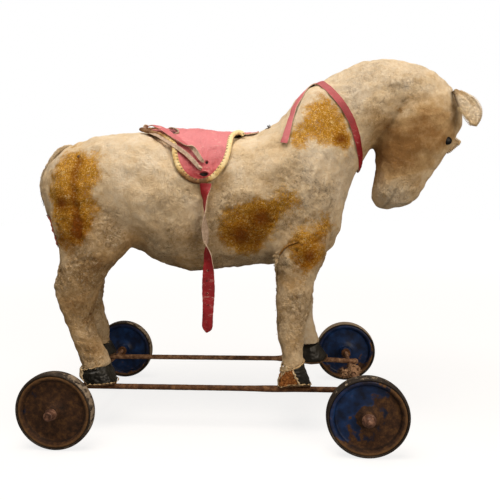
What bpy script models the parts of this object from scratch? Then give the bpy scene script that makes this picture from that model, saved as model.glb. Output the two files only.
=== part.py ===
"""Toy horse on wheels: a stuffed plush horse on an iron frame with four rubber tyred wheels.

Metres, +Z up. The horse faces +X and its right side faces -Y. The origin is on the floor, under
the middle of the object's box. Places along X are first given from the point midway between the
axles, and the empty `toy_horse` then moves everything by MIDDLE_X.
"""
import math

import bmesh
import bpy
from mathutils import Vector
from mathutils.bvhtree import BVHTree

# Driving dimensions of the rolling frame
MIDDLE_X = -0.0523
WHEEL_RADIUS = 0.0600
WHEELBASE = 0.4660
TRACK = 0.3272
TYRE_WIDTH = 0.0180
TYRE_DEPTH = 0.0065
TYRE_EDGE = 0.0012
AXLE_RADIUS = 0.0035
ROD_RADIUS = 0.0045
ROD_Y = 0.0810
ROD_FRONT_X = 0.2490
ROD_REAR_X = -0.2620
IRON_RADIUS = 0.0030

# Clearances
GAP = 0.0003
RUNNING_CLEARANCE = 0.0001
BAR_CLEARANCE = 4 * GAP
WELD_DISTANCE = 0.000001
SHARP_ANGLE = math.radians(40)

# Driving dimensions of the horse
COVER_THICKNESS = 0.0025
HOOF_BOTTOM_Z = WHEEL_RADIUS + AXLE_RADIUS + 2 * ROD_RADIUS + 2 * GAP
SOLE_THICKNESS = 0.0030
HOOF_TOP_Z = 0.1040
LEATHER_THICKNESS = 0.0022
GUSSET_HALF_WIDTH = 0.0400
HEAD_GUSSET_HALF_WIDTH = 0.0180
HEAD_GUSSET_X = 0.3350

SIDES = {"right": -1, "left": 1}
WHEEL_STEPS = 24
SMALL_STEPS = 12
RIB_POINTS = 16
LEG_POINTS = 12
LEG_SQUARENESS = 2.2

# Ribs of the body from rump to muzzle: back x, z; belly x, z; half width; squareness of the section
BODY_RIBS = [
    (-0.3060, 0.4230, -0.2990, 0.3560, 0.0380, 2.2),
    (-0.2980, 0.4400, -0.2880, 0.3260, 0.0610, 2.2),
    (-0.2800, 0.4570, -0.2690, 0.3080, 0.0800, 2.2),
    (-0.2480, 0.4735, -0.2430, 0.2980, 0.0940, 2.2),
    (-0.2050, 0.4855, -0.2050, 0.2960, 0.1020, 2.2),
    (-0.1550, 0.4910, -0.1550, 0.2960, 0.1050, 2.2),
    (-0.1100, 0.4920, -0.1100, 0.2690, 0.1070, 2.1),
    (-0.0500, 0.4915, -0.0500, 0.2510, 0.1080, 2.1),
    (0.0100, 0.4880, 0.0100, 0.2525, 0.1060, 2.1),
    (0.0660, 0.4850, 0.0860, 0.2600, 0.1040, 2.1),
    (0.1000, 0.5020, 0.1600, 0.2660, 0.1010, 2.1),
    (0.1180, 0.5180, 0.1900, 0.2850, 0.0960, 2.1),
    (0.1310, 0.5370, 0.2075, 0.3200, 0.0890, 2.1),
    (0.1500, 0.5565, 0.2130, 0.3500, 0.0800, 2.1),
    (0.1840, 0.5705, 0.2185, 0.3830, 0.0710, 2.1),
    (0.2130, 0.5845, 0.2280, 0.4050, 0.0640, 2.1),
    (0.2450, 0.5960, 0.2420, 0.4300, 0.0590, 2.1),
    (0.2850, 0.5990, 0.2570, 0.4550, 0.0560, 2.2),
    (0.3250, 0.5900, 0.2635, 0.4560, 0.0550, 2.3),
    (0.3590, 0.5740, 0.2670, 0.4480, 0.0550, 2.4),
    (0.3840, 0.5500, 0.2680, 0.4390, 0.0540, 2.5),
    (0.3965, 0.5180, 0.2690, 0.4300, 0.0520, 2.5),
    (0.3970, 0.4870, 0.2680, 0.4190, 0.0500, 2.5),
    (0.3895, 0.4600, 0.2650, 0.4060, 0.0460, 2.5),
    (0.3640, 0.4220, 0.2600, 0.3880, 0.0410, 2.5),
    (0.3420, 0.3880, 0.2605, 0.3730, 0.0370, 2.4),
    (0.3290, 0.3690, 0.2680, 0.3590, 0.0310, 2.3),
    (0.3120, 0.3575, 0.2820, 0.3530, 0.0180, 2.2),
]
NECK_RIB = 12

# Rings of the right legs from top to bottom: z; back x; front x; distance from the middle; half width
HIND_LEG_RINGS = [
    (0.3600, -0.2760, -0.1420, 0.0580, 0.0440),
    (0.3150, -0.2630, -0.1300, 0.0640, 0.0430),
    (0.2870, -0.2570, -0.1450, 0.0680, 0.0400),
    (0.2610, -0.2630, -0.1770, 0.0700, 0.0370),
    (0.2350, -0.2660, -0.1910, 0.0720, 0.0340),
    (0.2080, -0.2580, -0.2000, 0.0740, 0.0300),
    (0.1820, -0.2470, -0.2050, 0.0760, 0.0260),
    (0.1550, -0.2370, -0.1980, 0.0780, 0.0250),
    (0.1280, -0.2310, -0.1820, 0.0790, 0.0250),
    (HOOF_TOP_Z, -0.2260, -0.1760, 0.0800, 0.0260),
]
FORE_LEG_RINGS = [
    (0.3300, 0.1000, 0.1900, 0.0560, 0.0430),
    (0.3000, 0.0970, 0.1850, 0.0600, 0.0410),
    (0.2730, 0.0980, 0.1765, 0.0640, 0.0370),
    (0.2500, 0.0980, 0.1650, 0.0670, 0.0340),
    (0.2220, 0.0980, 0.1565, 0.0700, 0.0300),
    (0.1900, 0.0995, 0.1505, 0.0730, 0.0270),
    (0.1600, 0.1030, 0.1445, 0.0760, 0.0240),
    (0.1300, 0.1060, 0.1425, 0.0780, 0.0225),
    (HOOF_TOP_Z, 0.1065, 0.1440, 0.0790, 0.0230),
]
# The left legs stand apart from the right ones: x shift, and the heights where it starts and is full
LEGS = {
    "right_fore": (-1, FORE_LEG_RINGS, 0.0, 0.30, 0.10),
    "left_fore": (1, FORE_LEG_RINGS, 0.028, 0.26, 0.10),
    "right_hind": (-1, HIND_LEG_RINGS, 0.0, 0.36, 0.26),
    "left_hind": (1, HIND_LEG_RINGS, -0.047, 0.36, 0.26),
}
HOOF_TOE = 0.010
HOOF_HEEL = 0.004
HOOF_TOP_SWELL = 0.0010
HOOF_SWELL = 0.0025
SOLE_EDGE = 0.0005
CROSS_BAR_Z = 0.4000
CROSS_BAR_REACH = 0.0060
SPINE_BAR_REACH = 0.0080
CHANNEL_RUN_OUT = 0.0100

# Seams of the plush cover: the belly gusset and the head gusset, as boxes from a low to a high corner
BELLY_SEAM = ((-0.2750, -GUSSET_HALF_WIDTH, 0.0500), (0.2000, GUSSET_HALF_WIDTH, 0.3300))
HEAD_SEAM = ((HEAD_GUSSET_X, -HEAD_GUSSET_HALF_WIDTH, 0.3000), (0.6000, HEAD_GUSSET_HALF_WIDTH, 0.7000))

# Saddle, on the barrel's unrolled skin: x, and s, the way down from the spine
BARREL_TURN = 0.1146
SADDLE_BACK_X = -0.1080
SADDLE_FRONT_X = 0.0600
FLAP_X = -0.0070
FLAP_HALF_WIDTH = 0.0490
FLAP_TOP_S = 0.0850
FLAP_BOTTOM_S = 0.1560
FLAP_SQUARENESS = 2.3
BINDING_WIDTH = 0.0080
BINDING_THICKNESS = 0.0042
SADDLE_LIFT = 0.0012

for old in list(bpy.data.objects):
    bpy.data.objects.remove(old, do_unlink=True)

parts = bpy.data.collections.new("toy_horse_on_wheels")
cutters = bpy.data.collections.new("cutters")
bpy.context.scene.collection.children.link(parts)
bpy.context.scene.collection.children.link(cutters)

root = bpy.data.objects.new("toy_horse", None)
root.location = (MIDDLE_X, 0, 0)
parts.objects.link(root)


def material(name, red, green, blue, roughness, metallic=0.0):
    made = bpy.data.materials.new(name)
    made.use_nodes = True
    shader = made.node_tree.nodes["Principled BSDF"]
    shader.inputs["Base Color"].default_value = (red, green, blue, 1)
    shader.inputs["Roughness"].default_value = roughness
    shader.inputs["Metallic"].default_value = metallic
    return made


PLUSH = material("worn_cream_plush", 0.69, 0.54, 0.35, 0.95)
RED_LEATHER = material("red_leather", 0.54, 0.08, 0.10, 0.55)
BINDING = material("cream_binding", 0.69, 0.52, 0.19, 0.85)
OILCLOTH = material("black_oilcloth", 0.012, 0.012, 0.012, 0.45)
SOLE = material("sole_leather", 0.10, 0.06, 0.03, 0.80)
WOOD_WOOL = material("wood_wool", 0.33, 0.10, 0.03, 0.90)
IRON = material("rusty_iron", 0.10, 0.05, 0.035, 0.70, 0.6)
PAINTED = material("navy_painted_steel", 0.008, 0.015, 0.05, 0.45, 0.3)
RUBBER = material("old_tyre_rubber", 0.045, 0.042, 0.038, 0.80)
GLASS_EYE = material("black_glass_eye", 0.004, 0.004, 0.004, 0.10)
TWINE = material("hemp_twine", 0.50, 0.34, 0.20, 0.90)
BRASSY = material("buckle_steel", 0.35, 0.30, 0.22, 0.45, 0.8)


def add(name, mesh, finish, location=(0, 0, 0), collection=parts):
    """Put a mesh in the scene as a named part, or in the cutters, under the root empty."""
    mesh.name = name
    mesh.materials.clear()
    if finish:
        mesh.materials.append(finish)
    part = bpy.data.objects.new(name, mesh)
    part.location = location
    part.parent = root
    collection.objects.link(part)
    if collection is cutters:
        part.hide_render = True
        part.display_type = "WIRE"
    return part


def finished_mesh(bm):
    """A mesh of triangles that face outwards, smooth but for its sharp edges."""
    bmesh.ops.recalc_face_normals(bm, faces=bm.faces)
    bmesh.ops.triangulate(bm, faces=bm.faces, quad_method="FIXED")
    mesh = bpy.data.meshes.new("piece")
    bm.to_mesh(mesh)
    bm.free()
    mesh.shade_smooth()
    mesh.set_sharp_from_angle(angle=SHARP_ANGLE)
    return mesh


def loft_mesh(rings, closed=False):
    """A mesh through rings of points, capped at both ends, or run on to its first ring if closed."""
    bm = bmesh.new()
    loops = [[bm.verts.new(point) for point in ring] for ring in rings]
    pairs = list(zip(loops, loops[1:]))
    if closed:
        pairs.append((loops[-1], loops[0]))
    count = len(loops[0])
    for lower, upper in pairs:
        for i in range(count):
            j = (i + 1) % count
            bm.faces.new((lower[i], lower[j], upper[j], upper[i]))
    if not closed:
        bm.faces.new(loops[0][::-1])
        bm.faces.new(loops[-1])
    return finished_mesh(bm)


def block(name, low, high, grow=0.0):
    """A cutter box from a low to a high corner, grown on every side."""
    bm = bmesh.new()
    bmesh.ops.create_cube(bm, size=1)
    for vert in bm.verts:
        for axis in range(3):
            vert.co[axis] = low[axis] - grow if vert.co[axis] < 0 else high[axis] + grow
    return add(name, finished_mesh(bm), None, collection=cutters)


def evaluated_mesh(part):
    """The mesh of an object with its modifiers, or of a curve with its bevel."""
    graph = bpy.context.evaluated_depsgraph_get()
    graph.update()
    mesh = bpy.data.meshes.new_from_object(part.evaluated_get(graph), depsgraph=graph)
    bm = bmesh.new()
    bm.from_mesh(mesh)
    bmesh.ops.remove_doubles(bm, verts=bm.verts, dist=WELD_DISTANCE)
    bmesh.ops.triangulate(bm, faces=bm.faces)
    bm.to_mesh(mesh)
    bm.free()
    return mesh


def boolean(part, operation, other):
    step = part.modifiers.new(operation.lower() + "_" + other.name, "BOOLEAN")
    step.operation = operation
    step.object = other
    step.solver = "EXACT"


def squircle(angle, squareness):
    """Cosine and sine of a rounder or squarer circle."""
    c = math.cos(angle)
    s = math.sin(angle)
    power = 2 / squareness
    return math.copysign(abs(c) ** power, c), math.copysign(abs(s) ** power, s)


def rib_ring(rib, inset=0.0):
    """Points round one rib of the body, from the back down the right side and up the left."""
    back = Vector((rib[0], 0, rib[1]))
    belly = Vector((rib[2], 0, rib[3]))
    middle = (back + belly) / 2
    up = (back - belly) / 2
    reach = up.length - inset
    up.normalize()
    ring = []
    for i in range(RIB_POINTS):
        c, s = squircle(2 * math.pi * i / RIB_POINTS, rib[5])
        ring.append(middle + up * reach * c + Vector((0, -(rib[4] - inset) * s, 0)))
    return ring


def body_mesh(ribs, inset=0.0):
    """The body through the ribs given; a rump or a torso's front is also drawn in by the inset."""
    rings = [rib_ring(rib, inset) for rib in ribs]
    ends = [(rings[-1], rings[-2])]
    if ribs[0] == BODY_RIBS[0]:
        ends.append((rings[0], rings[1]))
    for ring, towards in ends:
        step = (sum(towards, Vector()) - sum(ring, Vector())).normalized() * inset
        for point in ring:
            point += step
    return loft_mesh(rings)


def smoothstep(value):
    value = min(max(value, 0), 1)
    return value * value * (3 - 2 * value)


def leg_ring(leg, ring, inset=0.0):
    side, _, shift, shift_top, shift_full = leg
    z, back, front, apart, half_width = ring
    lean = shift * smoothstep((shift_top - z) / (shift_top - shift_full))
    middle_x = (back + front) / 2 + lean
    half_length = (front - back) / 2 - inset
    points = []
    for i in range(LEG_POINTS):
        c, s = squircle(2 * math.pi * i / LEG_POINTS, LEG_SQUARENESS)
        points.append(Vector((middle_x + half_length * c, side * apart + (half_width - inset) * s, z)))
    return points


def leg_mesh(leg, inset=0.0, below=0.0):
    rings = [leg_ring(leg, ring, inset) for ring in leg[1]]
    for point in rings[0]:
        point.z -= inset
    if below:
        rings.append([point - Vector((0, 0, below)) for point in rings[-1]])
    return loft_mesh(rings)


# Wheels, axles and their small parts
def turned(name, profile, finish, location, steps=SMALL_STEPS, turn=0.0):
    """A profile of radius and distance outwards, turned about the Y axis; outwards is -Y before the turn.

    The profile runs outwards on its outer side. One that starts on the axis ends on it too and is
    left open, and any other is a closed loop.
    """
    count = len(profile)
    edges = [(i, (i + 1) % count) for i in range(count)]
    if profile[0][0] == 0:
        edges.pop()
    mesh = bpy.data.meshes.new(name)
    mesh.from_pydata([(radius, -out, 0) for radius, out in profile], edges, [])
    part = add(name, mesh, finish, location)
    part.rotation_euler.z = turn
    screw = part.modifiers.new("turned", "SCREW")
    screw.axis = "Y"
    screw.steps = steps
    screw.render_steps = steps
    screw.use_merge_vertices = True
    screw.merge_threshold = WELD_DISTANCE
    screw.use_smooth_shade = True
    return part


RIM_RADIUS = WHEEL_RADIUS - TYRE_DEPTH
RIM_HALF_WIDTH = 0.0078
LIP_RADIUS = 0.0550
STEP_RADIUS = 0.0475
WEB_HALF_THICKNESS = 0.0012
HUB_RADIUS = 0.0110
DISH_RADIUS = 0.0200
HUB_HALF_LENGTH = 0.0140
BEAD_TUCK = 0.0024
RIM_EDGE = 0.0010
RIM_SEAT_DEPTH = 0.0020
CAP_RADIUS = 0.0075
CAP_LENGTH = 0.0110
CAP_SHOULDER = 0.0050
CAP_BORE_DEPTH = 0.0065
WASHER_RADIUS = 0.0090
WASHER_LENGTH = 0.0030


def both_sides(inner_side):
    """A half profile and its mirror image, from the inner side to the outer side."""
    return inner_side + [(radius, -out) for radius, out in reversed(inner_side)]


def wheel_profile():
    """Section of the pressed disc: hub, dished web, and a rim with a seat for the tyre."""
    bore = (AXLE_RADIUS + RUNNING_CLEARANCE) / math.cos(math.pi / WHEEL_STEPS)
    return both_sides([
        (bore, -HUB_HALF_LENGTH),
        (HUB_RADIUS, -HUB_HALF_LENGTH),
        (HUB_RADIUS + RIM_EDGE, -HUB_HALF_LENGTH / 2),
        (DISH_RADIUS, -WEB_HALF_THICKNESS - RIM_EDGE),
        (STEP_RADIUS - 2 * RIM_EDGE, -WEB_HALF_THICKNESS),
        (STEP_RADIUS, -RIM_HALF_WIDTH + 1.5 * RIM_EDGE),
        (LIP_RADIUS - 2 * RIM_EDGE, -RIM_HALF_WIDTH - RIM_EDGE),
        (LIP_RADIUS, -RIM_HALF_WIDTH + RIM_EDGE),
        (RIM_RADIUS - RIM_SEAT_DEPTH, -RIM_HALF_WIDTH + BEAD_TUCK),
    ])


def tyre_profile():
    """A rounded ring on the rim's seat, with its inner edges under the rim's lips."""
    half = TYRE_WIDTH / 2
    return both_sides([
        (RIM_RADIUS - RIM_SEAT_DEPTH + GAP, -RIM_HALF_WIDTH + BEAD_TUCK + GAP),
        (LIP_RADIUS + GAP, -RIM_HALF_WIDTH + RIM_EDGE),
        (LIP_RADIUS + TYRE_EDGE, -half),
        (WHEEL_RADIUS - TYRE_EDGE, -half + 0.22 * half),
        (WHEEL_RADIUS, -half + 0.61 * half),
    ])


def cap_profile():
    """A domed cup that is driven on the axle's end."""
    hole = AXLE_RADIUS + GAP
    return [
        (0.0, CAP_BORE_DEPTH),
        (hole, CAP_BORE_DEPTH),
        (hole, 0.0),
        (CAP_RADIUS, 0.0),
        (CAP_RADIUS, CAP_SHOULDER),
        (CAP_RADIUS * 0.80, CAP_LENGTH * 0.77),
        (CAP_RADIUS * 0.40, CAP_LENGTH * 0.95),
        (0.0, CAP_LENGTH),
    ]


def ring_profile(inner, outer, length):
    """A plain ring, its length centred on its place."""
    return [(inner, -length / 2), (outer, -length / 2), (outer, length / 2), (inner, length / 2)]


def build_wheel(end, axle_x, side_name, side):
    name = f"{end}_{side_name}"
    turn = 0 if side < 0 else math.pi
    hub = (axle_x, side * TRACK / 2, WHEEL_RADIUS)
    cap = (axle_x, side * (TRACK / 2 + HUB_HALF_LENGTH + GAP), WHEEL_RADIUS)
    washer = (axle_x, side * (TRACK / 2 - HUB_HALF_LENGTH - GAP - WASHER_LENGTH / 2), WHEEL_RADIUS)
    turned(name + "_wheel", wheel_profile(), PAINTED, hub, WHEEL_STEPS)
    turned(name + "_tyre", tyre_profile(), RUBBER, hub, WHEEL_STEPS)
    turned(name + "_axle_cap", cap_profile(), IRON, cap, turn=turn)
    turned(name + "_axle_washer", ring_profile(AXLE_RADIUS + GAP, WASHER_RADIUS, WASHER_LENGTH), IRON, washer)


def bar(name, points, radius, finish, resolution=2, collection=parts):
    """A round bar along a polyline, as a closed mesh."""
    data = bpy.data.curves.new(name, "CURVE")
    data.dimensions = "3D"
    data.bevel_depth = radius
    data.bevel_resolution = resolution
    data.use_fill_caps = True
    line = data.splines.new("POLY")
    line.points.add(len(points) - 1)
    for target, point in zip(line.points, points):
        target.co = (*point, 1)
    guide = bpy.data.objects.new(name + "_guide", data)
    bpy.context.scene.collection.objects.link(guide)
    mesh = evaluated_mesh(guide)
    bpy.data.objects.remove(guide, do_unlink=True)
    mesh.shade_smooth()
    mesh.set_sharp_from_angle(angle=SHARP_ANGLE)
    return add(name, mesh, finish, collection=collection)


AXLE_X = {"front": WHEELBASE / 2, "rear": -WHEELBASE / 2}
AXLE_HALF_LENGTH = TRACK / 2 + HUB_HALF_LENGTH + CAP_BORE_DEPTH - GAP
ROD_Z = WHEEL_RADIUS + AXLE_RADIUS + GAP + ROD_RADIUS

for end, axle_x in AXLE_X.items():
    bar(f"{end}_axle", [(axle_x, -AXLE_HALF_LENGTH, WHEEL_RADIUS), (axle_x, AXLE_HALF_LENGTH, WHEEL_RADIUS)],
        AXLE_RADIUS, IRON, resolution=4)
    for side_name, side in SIDES.items():
        build_wheel(end, axle_x, side_name, side)

for side_name, side in SIDES.items():
    bar(f"{side_name}_frame_rod", [(ROD_REAR_X, side * ROD_Y, ROD_Z), (ROD_FRONT_X, side * ROD_Y, ROD_Z)],
        ROD_RADIUS, IRON, resolution=4)

# The old pull twine: a few turns wound tight round the front axle
TWINE_Y = 0.0340
TWINE_LENGTH = 0.0280
TWINE_RADIUS = 0.0095
turned("axle_twine", ring_profile(AXLE_RADIUS + GAP, TWINE_RADIUS, TWINE_LENGTH), TWINE,
       (AXLE_X["front"], TWINE_Y, WHEEL_RADIUS))


# The irons inside the legs, their cross bars and the spine bar
def leg_line(leg):
    """The middle of the leg from under the sole to the cross bar."""
    side, rings, _, _, _ = leg
    points = []
    for ring in rings:
        outline = leg_ring(leg, ring)
        points.append(sum(outline, Vector()) / len(outline))
    foot = points[-1].copy()
    foot.z = HOOF_BOTTOM_Z
    foot.y = side * ROD_Y
    top = points[0].copy()
    top.z = CROSS_BAR_Z - IRON_RADIUS - GAP
    return [foot] + points[:0:-1] + [top]


iron_cutters = {}
iron_tops = {}
for leg_name, leg in LEGS.items():
    line = leg_line(leg)
    iron_tops[leg_name] = line[-1]
    bar(leg_name + "_leg_iron", line, IRON_RADIUS, IRON)
    below = line[0] - Vector((0, 0, CHANNEL_RUN_OUT))
    iron_cutters[leg_name] = bar(leg_name + "_iron_channel", [below] + line, IRON_RADIUS + GAP, None,
                                 collection=cutters)

cross_bars = {}
for pair in ("fore", "hind"):
    right_end = iron_tops["right_" + pair].copy()
    left_end = iron_tops["left_" + pair].copy()
    right_end.z = CROSS_BAR_Z
    left_end.z = CROSS_BAR_Z
    reach = (left_end - right_end).normalized() * CROSS_BAR_REACH
    cross_bars[pair] = (right_end + left_end) / 2
    ends = [right_end - reach, left_end + reach]
    bar(pair + "_cross_bar", ends, IRON_RADIUS, IRON)
    iron_cutters[pair + "_bar"] = bar(pair + "_bar_channel", [ends[0] - reach, ends[1] + reach],
                                      IRON_RADIUS + BAR_CLEARANCE, None, collection=cutters)

spine_lift = Vector((0, 0, 2 * IRON_RADIUS + GAP))
spine_reach = Vector((SPINE_BAR_REACH, 0, 0))
spine_ends = [cross_bars["hind"] + spine_lift - spine_reach, cross_bars["fore"] + spine_lift + spine_reach]
bar("spine_bar", spine_ends, IRON_RADIUS, IRON)
iron_cutters["spine"] = bar("spine_channel", [spine_ends[0] - spine_reach, spine_ends[1] + spine_reach],
                            IRON_RADIUS + BAR_CLEARANCE, None, collection=cutters)

# Stuffing: torso, neck and head, and the four legs, with channels for the irons
skin = COVER_THICKNESS + GAP
torso_ribs = BODY_RIBS[:NECK_RIB + 1]
head_ribs = BODY_RIBS[NECK_RIB:]
torso = add("torso_stuffing", body_mesh(torso_ribs, skin), WOOD_WOOL)
head = add("neck_and_head_stuffing", body_mesh(head_ribs, skin), WOOD_WOOL)
torso_space = add("torso_space", body_mesh(torso_ribs, skin - GAP), None, collection=cutters)
for cutter_name in ("right_fore", "left_fore", "right_hind", "left_hind", "fore_bar", "hind_bar", "spine"):
    boolean(torso, "DIFFERENCE", iron_cutters[cutter_name])
for leg_name, leg in LEGS.items():
    limb = add(leg_name + "_leg_stuffing", leg_mesh(leg, skin), WOOD_WOOL)
    boolean(limb, "DIFFERENCE", torso_space)
    boolean(limb, "DIFFERENCE", iron_cutters[leg_name])

# Plush cover: one shell over body and legs, then cut along its seams into four panels
shell = add("plush_shell", body_mesh(BODY_RIBS), None, collection=cutters)
hollow = [add("hollow_body", body_mesh(BODY_RIBS, COVER_THICKNESS), None, collection=cutters)]
for leg_name, leg in LEGS.items():
    outer = add("cover_" + leg_name, leg_mesh(leg), None, collection=cutters)
    boolean(shell, "UNION", outer)
    hollow.append(add("hollow_" + leg_name, leg_mesh(leg, COVER_THICKNESS, below=CHANNEL_RUN_OUT), None,
                      collection=cutters))
for space in hollow:
    boolean(shell, "DIFFERENCE", space)
shell_mesh = evaluated_mesh(shell)

FAR = 1.0
belly_block = block("belly_block", *BELLY_SEAM)
belly_seam = block("belly_seam", *BELLY_SEAM, grow=GAP)
forehead_block = block("forehead_block", *HEAD_SEAM)
forehead_seam = block("forehead_seam", *HEAD_SEAM, grow=GAP)
half_blocks = {
    "right": block("right_half", (-FAR, -FAR, -FAR), (FAR, -GAP / 2, FAR)),
    "left": block("left_half", (-FAR, GAP / 2, -FAR), (FAR, FAR, FAR)),
}
for side_name, half in half_blocks.items():
    panel = add(f"{side_name}_plush_side", shell_mesh.copy(), PLUSH)
    boolean(panel, "INTERSECT", half)
    boolean(panel, "DIFFERENCE", belly_seam)
    boolean(panel, "DIFFERENCE", forehead_seam)
belly = add("plush_belly_gusset", shell_mesh.copy(), PLUSH)
boolean(belly, "INTERSECT", belly_block)
forehead = add("plush_head_gusset", shell_mesh.copy(), PLUSH)
boolean(forehead, "INTERSECT", forehead_block)


# Hooves: an oilcloth cap over the foot and a flat sole that rests on the frame rod
def hoof_ring(leg, z, swell, toe, heel):
    """The outline of a hoof at a height: wider than the leg's end by the swell, longer by toe and heel."""
    side = leg[0]
    _, back, front, _, half_width = leg[1][-1]
    back -= heel
    front += toe
    points = []
    for i in range(LEG_POINTS):
        c, s = squircle(2 * math.pi * i / LEG_POINTS, LEG_SQUARENESS)
        points.append(Vector(((back + front) / 2 + leg[2] + (front - back) / 2 * c,
                              side * ROD_Y + (half_width + swell) * s, z)))
    return points


for leg_name, leg in LEGS.items():
    top = HOOF_TOP_Z - GAP
    bottom = HOOF_BOTTOM_Z + SOLE_THICKNESS + GAP
    cap_rings = [
        hoof_ring(leg, top, HOOF_TOP_SWELL, 0, 0),
        hoof_ring(leg, (top + bottom) / 2, (HOOF_TOP_SWELL + HOOF_SWELL) / 2, HOOF_TOE / 2, HOOF_HEEL / 2),
        hoof_ring(leg, bottom, HOOF_SWELL, HOOF_TOE, HOOF_HEEL),
    ]
    hoof = add(leg_name + "_hoof", loft_mesh(cap_rings), OILCLOTH)
    boolean(hoof, "DIFFERENCE", iron_cutters[leg_name])
    sole_rings = [
        hoof_ring(leg, bottom - GAP, HOOF_SWELL + SOLE_EDGE, HOOF_TOE + SOLE_EDGE, HOOF_HEEL + SOLE_EDGE),
        hoof_ring(leg, HOOF_BOTTOM_Z, HOOF_SWELL, HOOF_TOE, HOOF_HEEL),
    ]
    sole = add(leg_name + "_hoof_sole", loft_mesh(sole_rings), SOLE)
    boolean(sole, "DIFFERENCE", iron_cutters[leg_name])


# The skin that small pieces lie on
body_skin = body_mesh(BODY_RIBS)
SKIN = BVHTree.FromPolygons([vert.co for vert in body_skin.vertices],
                            [face.vertices[:] for face in body_skin.polygons])
bpy.data.meshes.remove(body_skin)
OUTSIDE = 0.3


def skin_at(x, z, side):
    """Where the skin is at x and z on one side of the body, and the way that it faces there."""
    place, normal, _, _ = SKIN.ray_cast(Vector((x, side * OUTSIDE, z)), Vector((0, -side, 0)))
    return place, normal


# Ears: folded flaps sewn to the poll, which droop forward
EAR_ROOT_X = 0.3800
EAR_ROOT_Z = 0.5310
EAR_STANDS_OFF = 0.0070
EAR_TIPS = {"right": Vector((0.4080, -0.0700, 0.4840)), "left": Vector((0.4120, 0.0680, 0.4580))}
# Sections of an ear: share of the way from root to tip, half width, half thickness
EAR_SECTIONS = ((0.0, 0.0090, 0.0025), (0.25, 0.0160, 0.0030), (0.55, 0.0200, 0.0030),
                (0.85, 0.0140, 0.0025), (1.0, 0.0060, 0.0020))
EAR_POINTS = 10


def ear_mesh(side_name):
    place, normal = skin_at(EAR_ROOT_X, EAR_ROOT_Z, SIDES[side_name])
    root_point = place + normal * EAR_STANDS_OFF
    along = EAR_TIPS[side_name] - root_point
    across = Vector((-along.z, 0, along.x)).normalized()
    through = along.cross(across).normalized()
    rings = []
    for share, half_width, half_thickness in EAR_SECTIONS:
        ring = []
        for i in range(EAR_POINTS):
            c, s = squircle(2 * math.pi * i / EAR_POINTS, LEG_SQUARENESS)
            ring.append(root_point + along * share + across * half_width * c + through * half_thickness * s)
        rings.append(ring)
    return loft_mesh(rings)


# Eyes: black buttons on the sides of the head, each facing as the skin does
EYE_X = 0.3720
EYE_Z = 0.4620
EYE_RADIUS = 0.0062
EYE_DOME = [(0, 0), (EYE_RADIUS, 0), (EYE_RADIUS * 0.92, 0.0020), (EYE_RADIUS * 0.60, 0.0040), (0, 0.0052)]
EYE_LIFT = 0.0010

for side_name, side in SIDES.items():
    add(side_name + "_ear", ear_mesh(side_name), PLUSH)
    place, normal = skin_at(EYE_X, EYE_Z, side)
    eye = turned(side_name + "_eye", EYE_DOME, GLASS_EYE, place + normal * EYE_LIFT)
    eye.rotation_euler = normal.to_track_quat("-Y", "Z").to_euler()


# Straps: flat bands through stations of centre, half width vector and half thickness vector
def band_mesh(stations):
    rings = []
    for centre, half_width, half_thickness in stations:
        rings.append([centre - half_width - half_thickness, centre + half_width - half_thickness,
                      centre + half_width + half_thickness, centre - half_width + half_thickness])
    return loft_mesh(rings)


# Tail: the flap that is left of it, hinged by its seam at the top of the rump; its route is x and z
TAIL_HINGE = Vector((-0.2620, 0, 0.4720))
TAIL_ROUTE = [(-0.2620, 0.4710), (-0.2810, 0.4612), (-0.2980, 0.4470), (-0.3080, 0.4300), (-0.3125, 0.4130),
              (-0.3140, 0.3980), (-0.3110, 0.3840)]
TAIL_HALF_WIDTH = 0.0120
TAIL_HALF_THICKNESS = 0.0025
tail_stations = []
for i, (x, z) in enumerate(TAIL_ROUTE):
    ahead = Vector((*TAIL_ROUTE[min(i + 1, len(TAIL_ROUTE) - 1)], 0))
    behind = Vector((*TAIL_ROUTE[max(i - 1, 0)], 0))
    slope = (ahead - behind).normalized()
    outward = Vector((slope.y, 0, -slope.x)) * TAIL_HALF_THICKNESS
    tail_stations.append((Vector((x, 0, z)) - TAIL_HINGE, Vector((0, TAIL_HALF_WIDTH, 0)), outward))
add("tail", band_mesh(tail_stations), PLUSH, TAIL_HINGE)


# Saddle: points on the barrel's skin
TANGENT_STEP = 0.01
def barrel_section(x):
    """Middle height, half height, half width and squareness of the barrel at x."""
    for before, after in zip(BODY_RIBS, BODY_RIBS[1:]):
        if before[0] <= x <= after[0]:
            mix = (x - before[0]) / (after[0] - before[0])
            top, bottom, width, square = (a + (b - a) * mix for a, b in
                                          zip((before[1], before[3], before[4], before[5]),
                                              (after[1], after[3], after[4], after[5])))
            return (top + bottom) / 2, (top - bottom) / 2, width, square
    raise ValueError("x is outside the barrel")


def on_barrel(x, s, lift):
    """A point at x and at s down the right side (or up the left side, if negative), lifted off the skin."""
    middle_z, half_height, half_width, square = barrel_section(x)
    angle = s / BARREL_TURN

    def skin_point(turn):
        c, sn = squircle(turn, square)
        return Vector((x, -half_width * sn, middle_z + half_height * c))

    along = skin_point(angle + TANGENT_STEP) - skin_point(angle - TANGENT_STEP)
    normal = Vector((0, along.z, -along.y)).normalized()
    point = skin_point(angle)
    if normal.dot(point - Vector((x, 0, middle_z))) < 0:
        normal.negate()
    return point + normal * lift


def flap_edge(turn, inset=0.0):
    """The flap's U, from its front top (0) round the bottom to its back top (pi)."""
    c, s = squircle(turn, FLAP_SQUARENESS)
    return (FLAP_X + (FLAP_HALF_WIDTH - inset) * c,
            FLAP_TOP_S + (FLAP_BOTTOM_S - FLAP_TOP_S - inset) * s)


SADDLE_TAPER_START_S = 0.0120
SADDLE_TAPER_END_S = 0.0750
LEATHER_MARGIN = 0.0010
FLAP_TIP_SHARE = 0.985


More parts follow.
